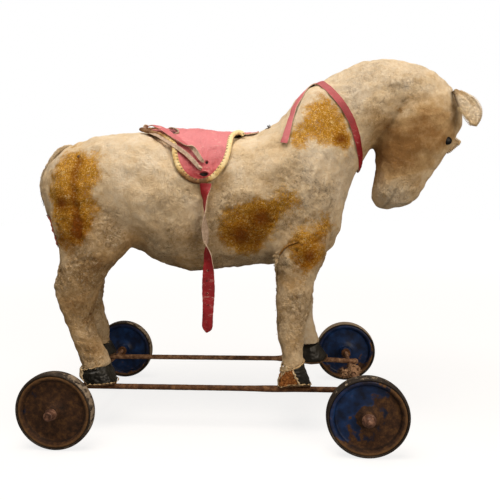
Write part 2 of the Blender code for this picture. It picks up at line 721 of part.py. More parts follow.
def saddle_width(s):
    """Back and front x of the leather at s from the spine."""
    s = abs(s)
    inset = BINDING_WIDTH + GAP
    if s <= FLAP_TOP_S:
        mix = smoothstep((s - SADDLE_TAPER_START_S) / (SADDLE_TAPER_END_S - SADDLE_TAPER_START_S))
        back = SADDLE_BACK_X + (FLAP_X - FLAP_HALF_WIDTH + inset - SADDLE_BACK_X) * mix
        front = SADDLE_FRONT_X + (FLAP_X + FLAP_HALF_WIDTH - inset - SADDLE_FRONT_X) * mix
        return back, front
    depth = min((s - FLAP_TOP_S) / (FLAP_BOTTOM_S - FLAP_TOP_S - inset), FLAP_TIP_SHARE)
    half = (FLAP_HALF_WIDTH - inset) * (1 - depth ** FLAP_SQUARENESS) ** (1 / FLAP_SQUARENESS)
    return FLAP_X - half, FLAP_X + half


SADDLE_ROWS = 9
SADDLE_COLUMNS = 5
SEAT_ROWS = 1
SEAT_Z = 0.4953
saddle_rings = []
leather_end = FLAP_BOTTOM_S - BINDING_WIDTH - GAP - LEATHER_MARGIN
for row in range(-SADDLE_ROWS, SADDLE_ROWS + 1):
    s = leather_end * math.sin(math.pi / 2 * row / SADDLE_ROWS)
    back, front = saddle_width(s)
    columns = [back + (front - back) * i / SADDLE_COLUMNS for i in range(SADDLE_COLUMNS + 1)]
    under = [on_barrel(x, s, SADDLE_LIFT) for x in columns]
    over = [on_barrel(x, s, SADDLE_LIFT + LEATHER_THICKNESS) for x in columns]
    if abs(row) <= SEAT_ROWS:
        for point in over[1:-1]:
            point.z = SEAT_Z
    saddle_rings.append(under + over[::-1])
add("saddle_leather", loft_mesh(saddle_rings), RED_LEATHER)

BINDING_STEPS = 18
for side_name, side in SIDES.items():
    rings = []
    for i in range(BINDING_STEPS + 1):
        turn = math.pi * i / BINDING_STEPS
        outer_x, outer_s = flap_edge(turn)
        inner_x, inner_s = flap_edge(turn, BINDING_WIDTH)
        flip = -side
        rings.append([on_barrel(inner_x, flip * inner_s, SADDLE_LIFT),
                      on_barrel(outer_x, flip * outer_s, SADDLE_LIFT),
                      on_barrel(outer_x, flip * outer_s, SADDLE_LIFT + BINDING_THICKNESS),
                      on_barrel(inner_x, flip * inner_s, SADDLE_LIFT + BINDING_THICKNESS)])
    add(f"{side_name}_saddle_binding", loft_mesh(rings), BINDING)

# Girth straps: the long right one hangs from under its flap, and the short left one holds the buckle.
# A station is the drop below the top, x, half width, and twist in degrees.
STRAP_HALF_THICKNESS = 0.0011
GIRTH_X = -0.0070
GIRTH_TOP_Z = 0.3940
GIRTH_Y = 0.1118
GIRTH_STATIONS = [(0.000, -0.0065, 0.0055, 0), (-0.028, -0.0090, 0.0030, 60), (-0.034, -0.0095, 0.0030, 90),
                  (-0.060, -0.0090, 0.0045, 150), (-0.082, -0.0065, 0.0040, 110), (-0.092, -0.0045, 0.0035, 60),
                  (-0.112, -0.0030, 0.0085, 0), (-0.160, -0.0035, 0.0100, 0), (-0.205, -0.0050, 0.0100, 0),
                  (-0.226, -0.0075, 0.0020, 0)]


def hanging_band(stations, side):
    made = []
    for z, x, half_width, twist in stations:
        angle = math.radians(twist)
        across = Vector((math.cos(angle), side * math.sin(angle), 0))
        through = Vector((-math.sin(angle) * side, math.cos(angle), 0))
        made.append((Vector((x - GIRTH_X, 0, z)), across * half_width, through * STRAP_HALF_THICKNESS))
    return band_mesh(made)


girth = add("right_girth_strap", hanging_band(GIRTH_STATIONS, -1), RED_LEATHER,
            (GIRTH_X, -GIRTH_Y, GIRTH_TOP_Z))
HOLE_DROPS = (0.132, 0.147, 0.162, 0.177)
HOLE_X = -0.0055
HOLE_RADIUS = 0.0013
PUNCH_REACH = 0.0100
for number, drop in enumerate(HOLE_DROPS):
    outer_end = (HOLE_X, -GIRTH_Y - PUNCH_REACH, GIRTH_TOP_Z - drop)
    inner_end = (HOLE_X, -GIRTH_Y + PUNCH_REACH, GIRTH_TOP_Z - drop)
    punch = bar(f"girth_punch_{number}", [outer_end, inner_end], HOLE_RADIUS, None, collection=cutters)
    boolean(girth, "DIFFERENCE", punch)

SHORT_STRAP_LENGTH = 0.0600
SHORT_STRAP_HALF_WIDTH = 0.0065
short_stations = [(drop, GIRTH_X, SHORT_STRAP_HALF_WIDTH, 0) for drop in (0, -SHORT_STRAP_LENGTH)]
add("left_girth_strap", hanging_band(short_stations, 1), RED_LEATHER, (GIRTH_X, GIRTH_Y, GIRTH_TOP_Z))
BUCKLE_HALF_WIDTH = 0.0105
BUCKLE_HEIGHT = 0.0170
BUCKLE_WIRE = 0.0013
buckle_top = -SHORT_STRAP_LENGTH - BUCKLE_WIRE - GAP
buckle = bar("girth_buckle", [(-BUCKLE_HALF_WIDTH, 0, buckle_top), (BUCKLE_HALF_WIDTH, 0, buckle_top),
                              (BUCKLE_HALF_WIDTH, 0, buckle_top - BUCKLE_HEIGHT),
                              (-BUCKLE_HALF_WIDTH, 0, buckle_top - BUCKLE_HEIGHT),
                              (-BUCKLE_HALF_WIDTH, 0, buckle_top - 2 * BUCKLE_WIRE - GAP)],
             BUCKLE_WIRE, BRASSY)
buckle.location = (GIRTH_X, GIRTH_Y, GIRTH_TOP_Z)

# Stirrup strap: a loop of strap that lies on the saddle, from the slots in the right flap to the cantle.
# Its route is x and s.
STIRRUP_ROUTE = [(-0.0050, 0.1280), (-0.0200, 0.1080), (-0.0400, 0.0850), (-0.0620, 0.0620), (-0.0850, 0.0450),
                 (-0.1080, 0.0330)]
STIRRUP_HALF_WIDTH = 0.0055
STIRRUP_THICKNESS = 0.0044
stirrup_lift = SADDLE_LIFT + BINDING_THICKNESS + GAP
rings = []
for i, (x, s) in enumerate(STIRRUP_ROUTE):
    ahead = Vector(STIRRUP_ROUTE[min(i + 1, len(STIRRUP_ROUTE) - 1)])
    behind = Vector(STIRRUP_ROUTE[max(i - 1, 0)])
    slope = (ahead - behind).normalized() * STIRRUP_HALF_WIDTH
    sideways = (-slope.y, slope.x)
    rings.append([on_barrel(x - sideways[0], s - sideways[1], stirrup_lift),
                  on_barrel(x + sideways[0], s + sideways[1], stirrup_lift),
                  on_barrel(x + sideways[0], s + sideways[1], stirrup_lift + STIRRUP_THICKNESS),
                  on_barrel(x - sideways[0], s - sideways[1], stirrup_lift + STIRRUP_THICKNESS)])
add("stirrup_strap", loft_mesh(rings), RED_LEATHER)

# Neck strap: a band right round the neck, from the crest to under the throat
NECK_STRAP_TOP = Vector((0.1680, 0, 0.5600))
NECK_STRAP_BOTTOM = Vector((0.2350, 0, 0.4250))
NECK_STRAP_SWAY = 0.0060
STRAP_HALF_WIDTH = 0.0055
STRAP_LIFT = 0.0030
STRAP_STEPS = 24

strap_middle = (NECK_STRAP_TOP + NECK_STRAP_BOTTOM) / 2
strap_up = (NECK_STRAP_TOP - NECK_STRAP_BOTTOM).normalized()
strap_forward = Vector((strap_up.z, 0, -strap_up.x))
rings = []
for i in range(STRAP_STEPS):
    angle = 2 * math.pi * i / STRAP_STEPS
    outward = strap_up * math.cos(angle) - Vector((0, math.sin(angle), 0))
    sway = strap_forward * NECK_STRAP_SWAY * math.sin(angle) ** 2
    edges = []
    for across in (-STRAP_HALF_WIDTH, STRAP_HALF_WIDTH):
        start = strap_middle + sway + strap_forward * across
        edges.append(SKIN.ray_cast(start, outward)[0] + outward * STRAP_LIFT)
    thickness = outward * 2 * STRAP_HALF_THICKNESS
    rings.append([edges[0], edges[1], edges[1] + thickness, edges[0] + thickness])
add("neck_strap", loft_mesh(rings, closed=True), RED_LEATHER)

# Rein end: the loose end of the neck strap, from near the crest down the right shoulder, as x and z
REIN_ROUTE = [(0.1490, 0.5400), (0.1430, 0.5330), (0.1375, 0.5240), (0.1330, 0.5150), (0.1290, 0.5050),
              (0.1250, 0.4930), (0.1215, 0.4800), (0.1185, 0.4670), (0.1160, 0.4550)]
rein_rings = []
for i, (x, z) in enumerate(REIN_ROUTE):
    ahead = Vector(REIN_ROUTE[min(i + 1, len(REIN_ROUTE) - 1)])
    behind = Vector(REIN_ROUTE[max(i - 1, 0)])
    slope = (ahead - behind).normalized() * STRAP_HALF_WIDTH
    ring = []
    for way, lift in ((-1, 0), (1, 0), (1, 2 * STRAP_HALF_THICKNESS), (-1, 2 * STRAP_HALF_THICKNESS)):
        place, normal = skin_at(x - way * slope.y, z + way * slope.x, SIDES["right"])
        ring.append(place + normal * (STRAP_LIFT + lift))
    rein_rings.append(ring)
add("rein_end", loft_mesh(rein_rings), RED_LEATHER)
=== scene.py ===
"""The looks of an old toy horse on wheels: worn mohair plush, red leather tack and a rusty wheel frame.

Metres, +Z up. The horse faces +X and its right side, the one that the photograph shows, faces -Y.
"""
import math
import random

import bmesh
import bpy
import numpy as np
from mathutils import Matrix, Vector, noise
from mathutils.bvhtree import BVHTree


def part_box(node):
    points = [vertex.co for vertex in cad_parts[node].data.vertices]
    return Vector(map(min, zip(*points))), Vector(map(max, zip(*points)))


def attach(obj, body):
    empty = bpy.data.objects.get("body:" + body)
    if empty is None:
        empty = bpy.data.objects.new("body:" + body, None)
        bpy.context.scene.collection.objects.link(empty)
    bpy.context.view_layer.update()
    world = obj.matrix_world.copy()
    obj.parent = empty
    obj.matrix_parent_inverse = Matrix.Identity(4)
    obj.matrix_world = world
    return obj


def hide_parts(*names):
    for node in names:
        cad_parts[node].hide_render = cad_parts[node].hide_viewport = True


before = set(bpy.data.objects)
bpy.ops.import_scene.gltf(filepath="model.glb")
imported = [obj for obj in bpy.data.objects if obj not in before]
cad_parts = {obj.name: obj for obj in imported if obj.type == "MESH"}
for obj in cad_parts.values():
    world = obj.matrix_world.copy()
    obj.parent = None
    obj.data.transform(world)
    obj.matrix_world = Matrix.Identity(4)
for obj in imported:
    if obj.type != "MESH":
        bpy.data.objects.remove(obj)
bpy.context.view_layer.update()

# Camera
# At a child's height on the horse's right, a little ahead of its middle and looking slightly down.
CAMERA_PLACE = (0.0753, -0.8964, 0.3740)
CAMERA_YAW = 0.0835
CAMERA_PITCH = -0.0974
CAMERA_ROLL = 0.0142
LENS_MM = 37.44

bpy.ops.object.camera_add(location=CAMERA_PLACE)
camera = bpy.context.object
camera.data.lens = LENS_MM
camera.data.sensor_width = 36
turn = (Matrix.Rotation(CAMERA_YAW, 3, "Z") @ Matrix.Rotation(CAMERA_PITCH, 3, "X")
        @ Matrix.Rotation(CAMERA_ROLL, 3, "Y") @ Matrix.Rotation(math.pi / 2, 3, "X"))
camera.rotation_euler = turn.to_euler()
bpy.context.scene.camera = camera
bpy.context.scene.view_settings.view_transform = "Standard"


# Studio
# A white floor and white surroundings, with a broad soft lamp overhead and a weaker one on the right.
def linear(code):
    """An sRGB hex colour as linear red, green, blue and alpha."""
    values = [int(code[i:i + 2], 16) / 255 for i in (1, 3, 5)]
    return tuple(v / 12.92 if v <= 0.04045 else ((v + 0.055) / 1.055) ** 2.4 for v in values) + (1.0,)


def node(tree, kind, sockets=None, stops=None, **settings):
    """Add a shader node with its settings. A socket takes a value, or a link from another node's output."""
    made = tree.nodes.new("ShaderNode" + kind)
    for name, value in settings.items():
        setattr(made, name, value)
    for key, value in (sockets or {}).items():
        if isinstance(value, bpy.types.NodeSocket):
            tree.links.new(value, made.inputs[key])
        else:
            made.inputs[key].default_value = value
    if stops:
        elements = made.color_ramp.elements
        while len(elements) < len(stops):
            elements.new(0.5)
        for element, (position, colour) in zip(elements, stops):
            element.position = position
            element.color = colour
    return made


def maths(tree, operation, *values):
    """A Math node's result."""
    return node(tree, "Math", dict(enumerate(values)), operation=operation).outputs[0]


def remap(tree, value, low, high, made_low=0.0, made_high=1.0, **settings):
    """A value moved from one range into another, and clamped there."""
    sockets = {"Value": value, 1: low, 2: high, 3: made_low, 4: made_high}
    return node(tree, "MapRange", sockets, **settings).outputs[0]


def mix(tree, share, start, end):
    """A share of the way from one colour to another, each a hex code or a node's output."""
    start, end = [linear(colour) if isinstance(colour, str) else colour for colour in (start, end)]
    return node(tree, "Mix", {0: share, 6: start, 7: end}, data_type="RGBA").outputs[2]


def area_lamp(name, place, target, size, power, colour):
    bpy.ops.object.light_add(type="AREA", location=place)
    lamp = bpy.context.object
    lamp.name = name
    lamp.data.size = size
    lamp.data.energy = power
    lamp.data.color = linear(colour)[:3]
    lamp.rotation_euler = (Vector(target) - Vector(place)).to_track_quat("-Z", "Y").to_euler()


area_lamp("overhead_lamp", (-0.20, -0.42, 1.95), (0, 0, 0.35), 1.3, 28, "#FFF6EC")
area_lamp("right_hand_lamp", (1.15, -1.45, 0.80), (0.05, 0, 0.25), 1.0, 14, "#FFF0DE")

world = bpy.data.worlds.new("white_room")
bpy.context.scene.world = world
world.use_nodes = True
tree = world.node_tree
tree.nodes.clear()
AMBIENT = 0.25
path = node(tree, "LightPath")
seen = maths(tree, "MAXIMUM", path.outputs["Is Camera Ray"], path.outputs["Is Transmission Ray"])
strength = node(tree, "Mix", {0: seen, 2: AMBIENT, 3: 1.0}, data_type="FLOAT")
# A warm room lights the shadows, and the camera sees white
tint = mix(tree, seen, "#FFE8CA", "#FFFFFF")
sky = node(tree, "Background", {"Color": tint, "Strength": strength.outputs[0]})
tree.links.new(sky.outputs[0], node(tree, "OutputWorld").inputs[0])

bpy.ops.mesh.primitive_plane_add(size=14)
floor = bpy.context.object
floor.name = "floor"
paper = bpy.data.materials.new("white_paper_floor")
paper.use_nodes = True
tree = paper.node_tree
tree.nodes.clear()
path = node(tree, "LightPath")
matt = node(tree, "BsdfDiffuse", {"Color": linear("#8E8E8E")})
# The lamps reach the near floor only, so the glow that makes the paper white grows with distance
distance = node(tree, "VectorMath", {0: node(tree, "TexCoord").outputs["Object"]}, operation="LENGTH")
share = remap(tree, distance.outputs["Value"], 0.5, 3.0, 0.80, 1.0)
glow_share = maths(tree, "MULTIPLY", path.outputs["Is Camera Ray"], share)
glow = node(tree, "Emission", {"Color": linear("#FFFFFF"), "Strength": glow_share})
both = node(tree, "AddShader", {0: matt.outputs[0], 1: glow.outputs[0]})
tree.links.new(both.outputs[0], node(tree, "OutputMaterial").inputs[0])
floor.data.materials.append(paper)


# Plush cover
# Worn cream mohair sewn over packed wood wool, in a right and a left side, a belly gusset and a head
# gusset. Its rough shape is that of the sewn panels, filled and smoothed, and the creases come after.
PLUSH_NODES = ("right_plush_side", "left_plush_side", "plush_belly_gusset", "plush_head_gusset")
STUFFING_NODES = ("torso_stuffing", "neck_and_head_stuffing", "right_fore_leg_stuffing",
                  "left_fore_leg_stuffing", "right_hind_leg_stuffing", "left_hind_leg_stuffing")
IRON_NODES = ("right_fore_leg_iron", "left_fore_leg_iron", "right_hind_leg_iron", "left_hind_leg_iron",
              "fore_cross_bar", "hind_cross_bar", "spine_bar")
# Where the plush ends on each foot: middle x, side, height there, and how much it rises forwards
FOOT_EDGES = {"right_fore": (0.0760, -1, 0.1095, 0.38), "left_fore": (0.1040, 1, 0.1010, 0.30),
              "right_hind": (-0.2503, -1, 0.1115, 0.08), "left_hind": (-0.2973, 1, 0.1025, 0.00)}
FOOT_REACH = 0.0700
FOOT_ZONE_TOP = 0.1600
FOOT_Y = 0.0810
FOOT_FLOOR_Z = 0.0762
FOOT_HALF_LENGTH = 0.030
FOOT_HALF_WIDTH = 0.024
# How each foot has been pulled out of shape: its hem lowered, and by how much more per metre forwards; the
# foot moved forwards, and its heel above the hoof; the heel tucked under, from a height; the toe drawn out;
# the outer edge curled up; the inner edge hanging down beside the rod
FOOT_PULLS = {"right_fore": (0.0, 0.0, 0.0, 0.0, 0.0, 0.1, 0.0, 0.0058, 0.0),
              "left_fore": (0.0036, 0.0, 0.0036, 0.0, 0.0, 0.1, 0.0042, 0.0, 0.0080),
              "right_hind": (0.0046, -0.08, 0.0, 0.0045, 0.0180, 0.0980, 0.0, 0.0034, 0.0),
              "left_hind": (0.0034, 0.22, -0.0105, 0.0, 0.0, 0.1, 0.0, 0.0, 0.0)}
SKIN_VOXEL = 0.0021


def select_only(piece):
    """Deselect everything else, in object mode."""
    bpy.ops.object.select_all(action="DESELECT")
    piece.select_set(True)
    bpy.context.view_layer.objects.active = piece


def new_piece(name, mesh):
    piece = bpy.data.objects.new(name, mesh)
    bpy.context.scene.collection.objects.link(piece)
    select_only(piece)
    return piece


def apply_modifiers(piece):
    select_only(piece)
    for step in list(piece.modifiers):
        bpy.ops.object.modifier_apply(modifier=step.name)


def add_modifier(piece, kind, **settings):
    step = piece.modifiers.new(kind.lower(), kind)
    for name, value in settings.items():
        setattr(step, name, value)


def joined_nodes(name, nodes):
    """One new piece made of copies of CAD nodes, with their loose triangles merged."""
    bm = bmesh.new()
    for node_name in nodes:
        bm.from_mesh(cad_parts[node_name].data)
    bmesh.ops.remove_doubles(bm, verts=bm.verts, dist=0.00001)
    mesh = bpy.data.meshes.new(name)
    bm.to_mesh(mesh)
    bm.free()
    return new_piece(name, mesh)


def voxel_skin(piece, voxel, smoothing):
    """Turn overlapping solids into one even skin, and smooth it."""
    select_only(piece)
    piece.data.remesh_voxel_size = voxel
    bpy.ops.object.voxel_remesh()
    add_modifier(piece, "SMOOTH", factor=0.5, iterations=smoothing)
    apply_modifiers(piece)


def ease(piece, share_at, rounds):
    """Smooth a piece further where a share asks for it."""
    places, _ = read_points(piece.data)
    group = piece.vertex_groups.new(name="eased")
    for i, share in enumerate(share_at(places)):
        if share > 0.01:
            group.add([i], share, "REPLACE")
    add_modifier(piece, "SMOOTH", factor=0.5, iterations=rounds, vertex_group="eased")
    apply_modifiers(piece)
    piece.vertex_groups.clear()


def cut_away(piece, place, normal, test=lambda point: True):
    """Cut the faces that pass a test by a plane, drop what is behind it, and close the cut."""
    select_only(piece)
    bpy.ops.object.mode_set(mode="EDIT")
    bpy.ops.mesh.select_all(action="DESELECT")
    bm = bmesh.from_edit_mesh(piece.data)
    for face in bm.faces:
        face.select = all(test(point.co) for point in face.verts)
    bmesh.update_edit_mesh(piece.data)
    bpy.ops.mesh.bisect(plane_co=place, plane_no=normal, use_fill=True, clear_inner=True)
    bpy.ops.object.mode_set(mode="OBJECT")


def read_points(mesh):
    """Places and normals of a mesh's points, as arrays."""
    places = np.empty(len(mesh.vertices) * 3)
    normals = np.empty(len(mesh.vertices) * 3)
    mesh.vertices.foreach_get("co", places)
    mesh.vertex_normals.foreach_get("vector", normals)
    return places.reshape(-1, 3), normals.reshape(-1, 3)


def write_points(mesh, places):
    mesh.vertices.foreach_set("co", np.asarray(places, float).ravel())
    mesh.update()


def ruffle(places, size, seed):
    """Smooth noise of about -1 to 1 at each place, with bumps of that size in metres."""
    return np.array([noise.noise((x / size + seed, y / size, z / size)) * 2 for x, y, z in places])


def line_distance(points, route):
    """How far each point is from a line of straight runs, in the plane or in space."""
    best = np.full(len(points), 1e9)
    for a, b in zip(route, route[1:]):
        a = np.array(a)
        run = np.array(b) - a
        share = np.clip((points - a) @ run / (run @ run), 0, 1)
        best = np.minimum(best, np.linalg.norm(points - a - share[:, None] * run, axis=1))
    return best


def outline_distance(points, outline):
    """How far each point of a plane is inside an outline; negative is outside."""
    distance = line_distance(points, list(outline) + [outline[0]])
    inside = np.zeros(len(points), bool)
    for (ax, az), (bx, bz) in zip(outline, list(outline[1:]) + [outline[0]]):
        crosses = (az > points[:, 1]) != (bz > points[:, 1])
        with np.errstate(divide="ignore", invalid="ignore"):
            edge_x = ax + (points[:, 1] - az) * (bx - ax) / (bz - az)
        inside ^= crosses & (points[:, 0] < edge_x)
    return np.where(inside, distance, -distance)


def soft_step(values, start, end):
    share = np.clip((values - start) / (end - start), 0, 1)
    return share * share * (3 - 2 * share)


def spot(points, x, z, radius):
    """1 at a place on the side view, falling softly to nothing round it."""
    return np.exp(-(np.hypot(points[:, 0] - x, points[:, 1] - z) / radius) ** 2)


def ridge(points, route, half_width):
    """1 along a line, falling softly to nothing beside it."""
    return np.exp(-(line_distance(points, route) / half_width) ** 2)


def pulled(which, places):
    """The places of a foot's points, pulled out of shape as that foot is."""
    middle_x, side, height, _ = FOOT_EDGES[which]
    drop, drop_rise, forwards, heel_in, tuck, tuck_top, toe_out, curl, hang = FOOT_PULLS[which]
    made = np.array(places, float)
    x = made[:, 0] - middle_x
    z = made[:, 2].copy()
    inwards = (FOOT_Y - made[:, 1] * side) / FOOT_HALF_WIDTH
    heel = np.clip(-x / FOOT_HALF_LENGTH, 0, 1)
    low = 1 - np.clip((z - FOOT_FLOOR_Z) / (height - FOOT_FLOOR_Z), 0, 1)
    by_hem = soft_step(z, FOOT_FLOOR_Z, 0.1000) * (1 - soft_step(z, 0.1140, 0.1600))
    made[:, 0] += forwards * (1 - soft_step(z, 0.1100, 0.1450)) + heel_in * heel * by_hem
    made[:, 0] += (tuck * heel * (1 - soft_step(z, FOOT_FLOOR_Z, tuck_top))
                   + toe_out * np.clip(x / FOOT_HALF_LENGTH, 0, 1) * low)
    curled = curl * np.clip(-inwards, 0, 1) * low * soft_step(x, -0.028, -0.006)
    made[:, 1] -= side * 1.1 * curled
    made[:, 2] += curled - hang * np.clip(inwards, 0, 1) * low
    made[:, 2] -= (drop + drop_rise * x) * by_hem
    return made


def tree_of(piece):
    """The surface of a piece as it is now, to cast rays at."""
    points = [point.co for point in piece.data.vertices]
    return BVHTree.FromPolygons(points, [face.vertices[:] for face in piece.data.polygons])


cover = joined_nodes("plush_cover", PLUSH_NODES + STUFFING_NODES + IRON_NODES)
voxel_skin(cover, SKIN_VOXEL, 34)
# Stuffing packs the legs into the body, so their tops run out softly
ease(cover, lambda places: soft_step(-places[:, 2], -0.425, -0.375) * soft_step(places[:, 2], 0.262, 0.290)
     * soft_step(np.abs(places[:, 1]), 0.050, 0.080), 150)
# The seat presses the back down between the flaps
places, _ = read_points(cover.data)
pressed = np.interp(places[:, 0], (-0.075, -0.050, -0.030, -0.018, 0.004, 0.022),
                    (0, 0.0026, 0.0034, 0.0032, 0.0016, 0))
pressed *= (1 - soft_step(np.abs(places[:, 1]), 0.018, 0.062)) * soft_step(places[:, 2], 0.440, 0.470)
write_points(cover.data, places - pressed[:, None] * np.array([0, 0, 1]))
smooth_skin = tree_of(cover)
for middle_x, side, height, rise in FOOT_EDGES.values():
    cut_away(cover, (middle_x, 0, height - 0.002), (-rise, 0, 1),
             lambda p: abs(p.x - middle_x) < FOOT_REACH and p.y * side > 0 and p.z < FOOT_ZONE_TOP)

places, normals = read_points(cover.data)
side_view = places[:, [0, 2]]
# Folds as lines on the side view: route, depth, half width
JAW_FOLD = [(0.246, 0.519), (0.239, 0.506), (0.230, 0.491), (0.220, 0.477), (0.211, 0.464)]
MOUTH_FOLD = [(0.240, 0.386), (0.234, 0.373), (0.226, 0.359)]
ARMPIT_FOLD = [(0.046, 0.262), (0.049, 0.272), (0.053, 0.284), (0.060, 0.295), (0.068, 0.302), (0.082, 0.307)]
FLANK_FOLD = [(-0.196, 0.262), (-0.188, 0.280), (-0.170, 0.300)]
STIFLE_FOLD = [(-0.205, 0.330), (-0.180, 0.318), (-0.150, 0.306)]
HOCK_FOLDS = [[(-0.270, 0.152), (-0.252, 0.148), (-0.232, 0.152)], [(-0.262, 0.136), (-0.244, 0.131),
              (-0.226, 0.136)], [(-0.266, 0.166), (-0.250, 0.168), (-0.238, 0.172)]]
RUMP_FOLD = [(-0.262, 0.442), (-0.268, 0.415), (-0.267, 0.380), (-0.264, 0.345), (-0.258, 0.315)]
FOLDS = [(JAW_FOLD, 0.0042, 0.0080), (MOUTH_FOLD, 0.0020, 0.0030), (ARMPIT_FOLD, 0.0024, 0.0024),
         (RUMP_FOLD, 0.0022, 0.0070), (FLANK_FOLD, 0.0030, 0.0090),
         (STIFLE_FOLD, 0.0016, 0.0080)] + [(fold, 0.0024, 0.0028) for fold in HOCK_FOLDS]
# Swellings on the side view: x, z, radius, height
SWELLINGS = [(0.272, 0.478, 0.050, 0.0060), (0.238, 0.392, 0.030, 0.0030), (-0.262, 0.345, 0.060, 0.0040),
             (0.105, 0.330, 0.050, 0.0030), (0.060, 0.275, 0.016, 0.0030), (-0.110, 0.330, 0.060, 0.0025)]
depth = np.zeros(len(places))
for route, deep, half_width in FOLDS:
    depth -= deep * ridge(side_view, route, half_width)
for x, z, radius, height in SWELLINGS:
    depth += height * spot(side_view, x, z, radius)
depth *= soft_step(np.abs(normals[:, 1]), 0.2, 0.7)
# The gusset between the eyes bulges beyond its seams
brow = soft_step(side_view[:, 0], 0.315, 0.338) * np.exp(-(places[:, 1] / 0.024) ** 4)
depth += brow * 0.0076 * np.interp(side_view[:, 1], (0.456, 0.468, 0.480, 0.496, 0.512, 0.524, 0.538),
                                   (0, 0.2, 0.6, 1, 1, 0.5, 0))
# Seams: the head gusset's two edges, and the seam along the back
on_face = soft_step(side_view[:, 0], 0.290, 0.320) * (np.abs(places[:, 1]) < 0.03)
depth -= 0.0012 * on_face * np.exp(-((np.abs(places[:, 1]) - 0.018) / 0.0025) ** 2)
on_back = (normals[:, 2] > 0.5) * (side_view[:, 0] < 0.290)
depth -= 0.0010 * on_back * np.exp(-(places[:, 1] / 0.0025) ** 2)
# How matted the pile is: least on the back and rump, most low on the flanks, on the legs and by the jaw
matted_from = np.interp(side_view[:, 0], (-0.20, 0.0, 0.10), (-0.400, -0.455, -0.480))
matted_to = np.interp(side_view[:, 0], (-0.20, 0.0, 0.10), (-0.290, -0.335, -0.380))
matted = 0.10 + 0.90 * soft_step(-places[:, 2], matted_from, matted_to)
matted *= 1 - 0.6 * soft_step(side_view[:, 0], 0.115, 0.150) * soft_step(-places[:, 2], -0.44, -0.42)
matted *= 1 - 0.45 * soft_step(-places[:, 2], -0.200, -0.150)
matted += 0.7 * spot(side_view, 0.215, 0.530, 0.056)
matted += 0.25 * spot(side_view, 0.250, 0.398, 0.026)
matted -= 0.5 * spot(side_view, 0.270, 0.460, 0.050)
matted *= 1 - 0.6 * spot(side_view, -0.078, 0.340, 0.035)
matted *= np.clip(0.75 + 0.8 * ruffle(places, 0.040, 12.0), 0.25, 1.3)
matted = np.clip(matted, 0, 1)
# Unevenness of old stuffing, and short creases where the pile is matted
creased = np.exp(-(ruffle(places, 0.0105, 8.0) / 0.16) ** 2) * (0.25 + 0.75 * matted)
creased *= np.clip(ruffle(places, 0.0160, 31.0) * 1.6 + 0.35, 0, 1)
depth += 0.0016 * ruffle(places, 0.045, 3.0) + 0.0009 * ruffle(places, 0.013, 8.0)
hanging = 1 - 0.8 * soft_step(-normals[:, 2], 0.1, 0.6)
depth += hanging * (0.0010 * matted * ruffle(places, 0.0062, 15.0) - 0.0015 * creased)
# The saddle presses the pile flat under it
SADDLE_PRINT = [(-0.150, 0.505), (-0.165, 0.482), (-0.135, 0.462), (-0.114, 0.430), (-0.108, 0.415),
                (-0.090, 0.403), (-0.066, 0.399), (-0.043, 0.403), (-0.026, 0.418), (-0.023, 0.440),
                (-0.016, 0.462), (0.000, 0.480), (0.010, 0.505)]
depth -= 0.0035 * soft_step(outline_distance(side_view, SADDLE_PRINT), 0.0, 0.008)
moved = places + normals * depth[:, None]
# The left hind leg stands straighter than the right one, with its hock further forward
left_hind = soft_step(places[:, 1], 0.015, 0.045) * soft_step(-places[:, 0], 0.150, 0.180)
moved[:, 0] += left_hind * np.interp(places[:, 2], (0.104, 0.120, 0.145, 0.165, 0.195, 0.220, 0.265),
                                     (0, 0, 0.0010, 0.0060, 0.0075, 0.0055, 0))
# Under the tail flap the rump is packed flatter
rump = soft_step(-places[:, 0], 0.300, 0.332)
moved[:, 0] += rump * np.interp(places[:, 2], (0.322, 0.338, 0.357, 0.395, 0.412, 0.430, 0.452, 0.470),
                                (0, 0.0032, 0.0062, 0.0062, 0.0078, 0.0096, 0.0092, 0.0040))
# Low on the right thigh the back of the leg is hollow, and the belly hangs unevenly
thigh = soft_step(-normals[:, 0], 0.0, 0.6) * (places[:, 1] < 0) * soft_step(-places[:, 0], 0.235, 0.255)
moved[:, 0] += thigh * np.interp(places[:, 2],
                                 (0.190, 0.206, 0.219, 0.232, 0.245, 0.259, 0.272, 0.285, 0.303, 0.322),
                                 (0, -0.0015, -0.0030, 0, 0.0016, 0.0048, 0.0050, 0.0030, 0.0015, 0))
under = soft_step(-normals[:, 2], 0.1, 0.6) * soft_step(places[:, 2], 0.225, 0.245)
moved[:, 2] += under * np.interp(places[:, 0],
                                 (-0.190, -0.175, -0.158, -0.141, -0.080, -0.060, -0.043, 0.006, 0.025),
                                 (0, 0.0048, 0.0026, -0.0012, -0.0016, 0, 0.0026, 0.0026, 0))
for which, (middle_x, side, _, _) in FOOT_EDGES.items():
    foot = ((np.abs(places[:, 0] - middle_x) < FOOT_REACH) & (places[:, 1] * side > 0)
            & (places[:, 2] < FOOT_ZONE_TOP))
    moved[foot] = pulled(which, moved[foot])
write_points(cover.data, moved)
cover.data.shade_smooth()

cover_skin = tree_of(cover)

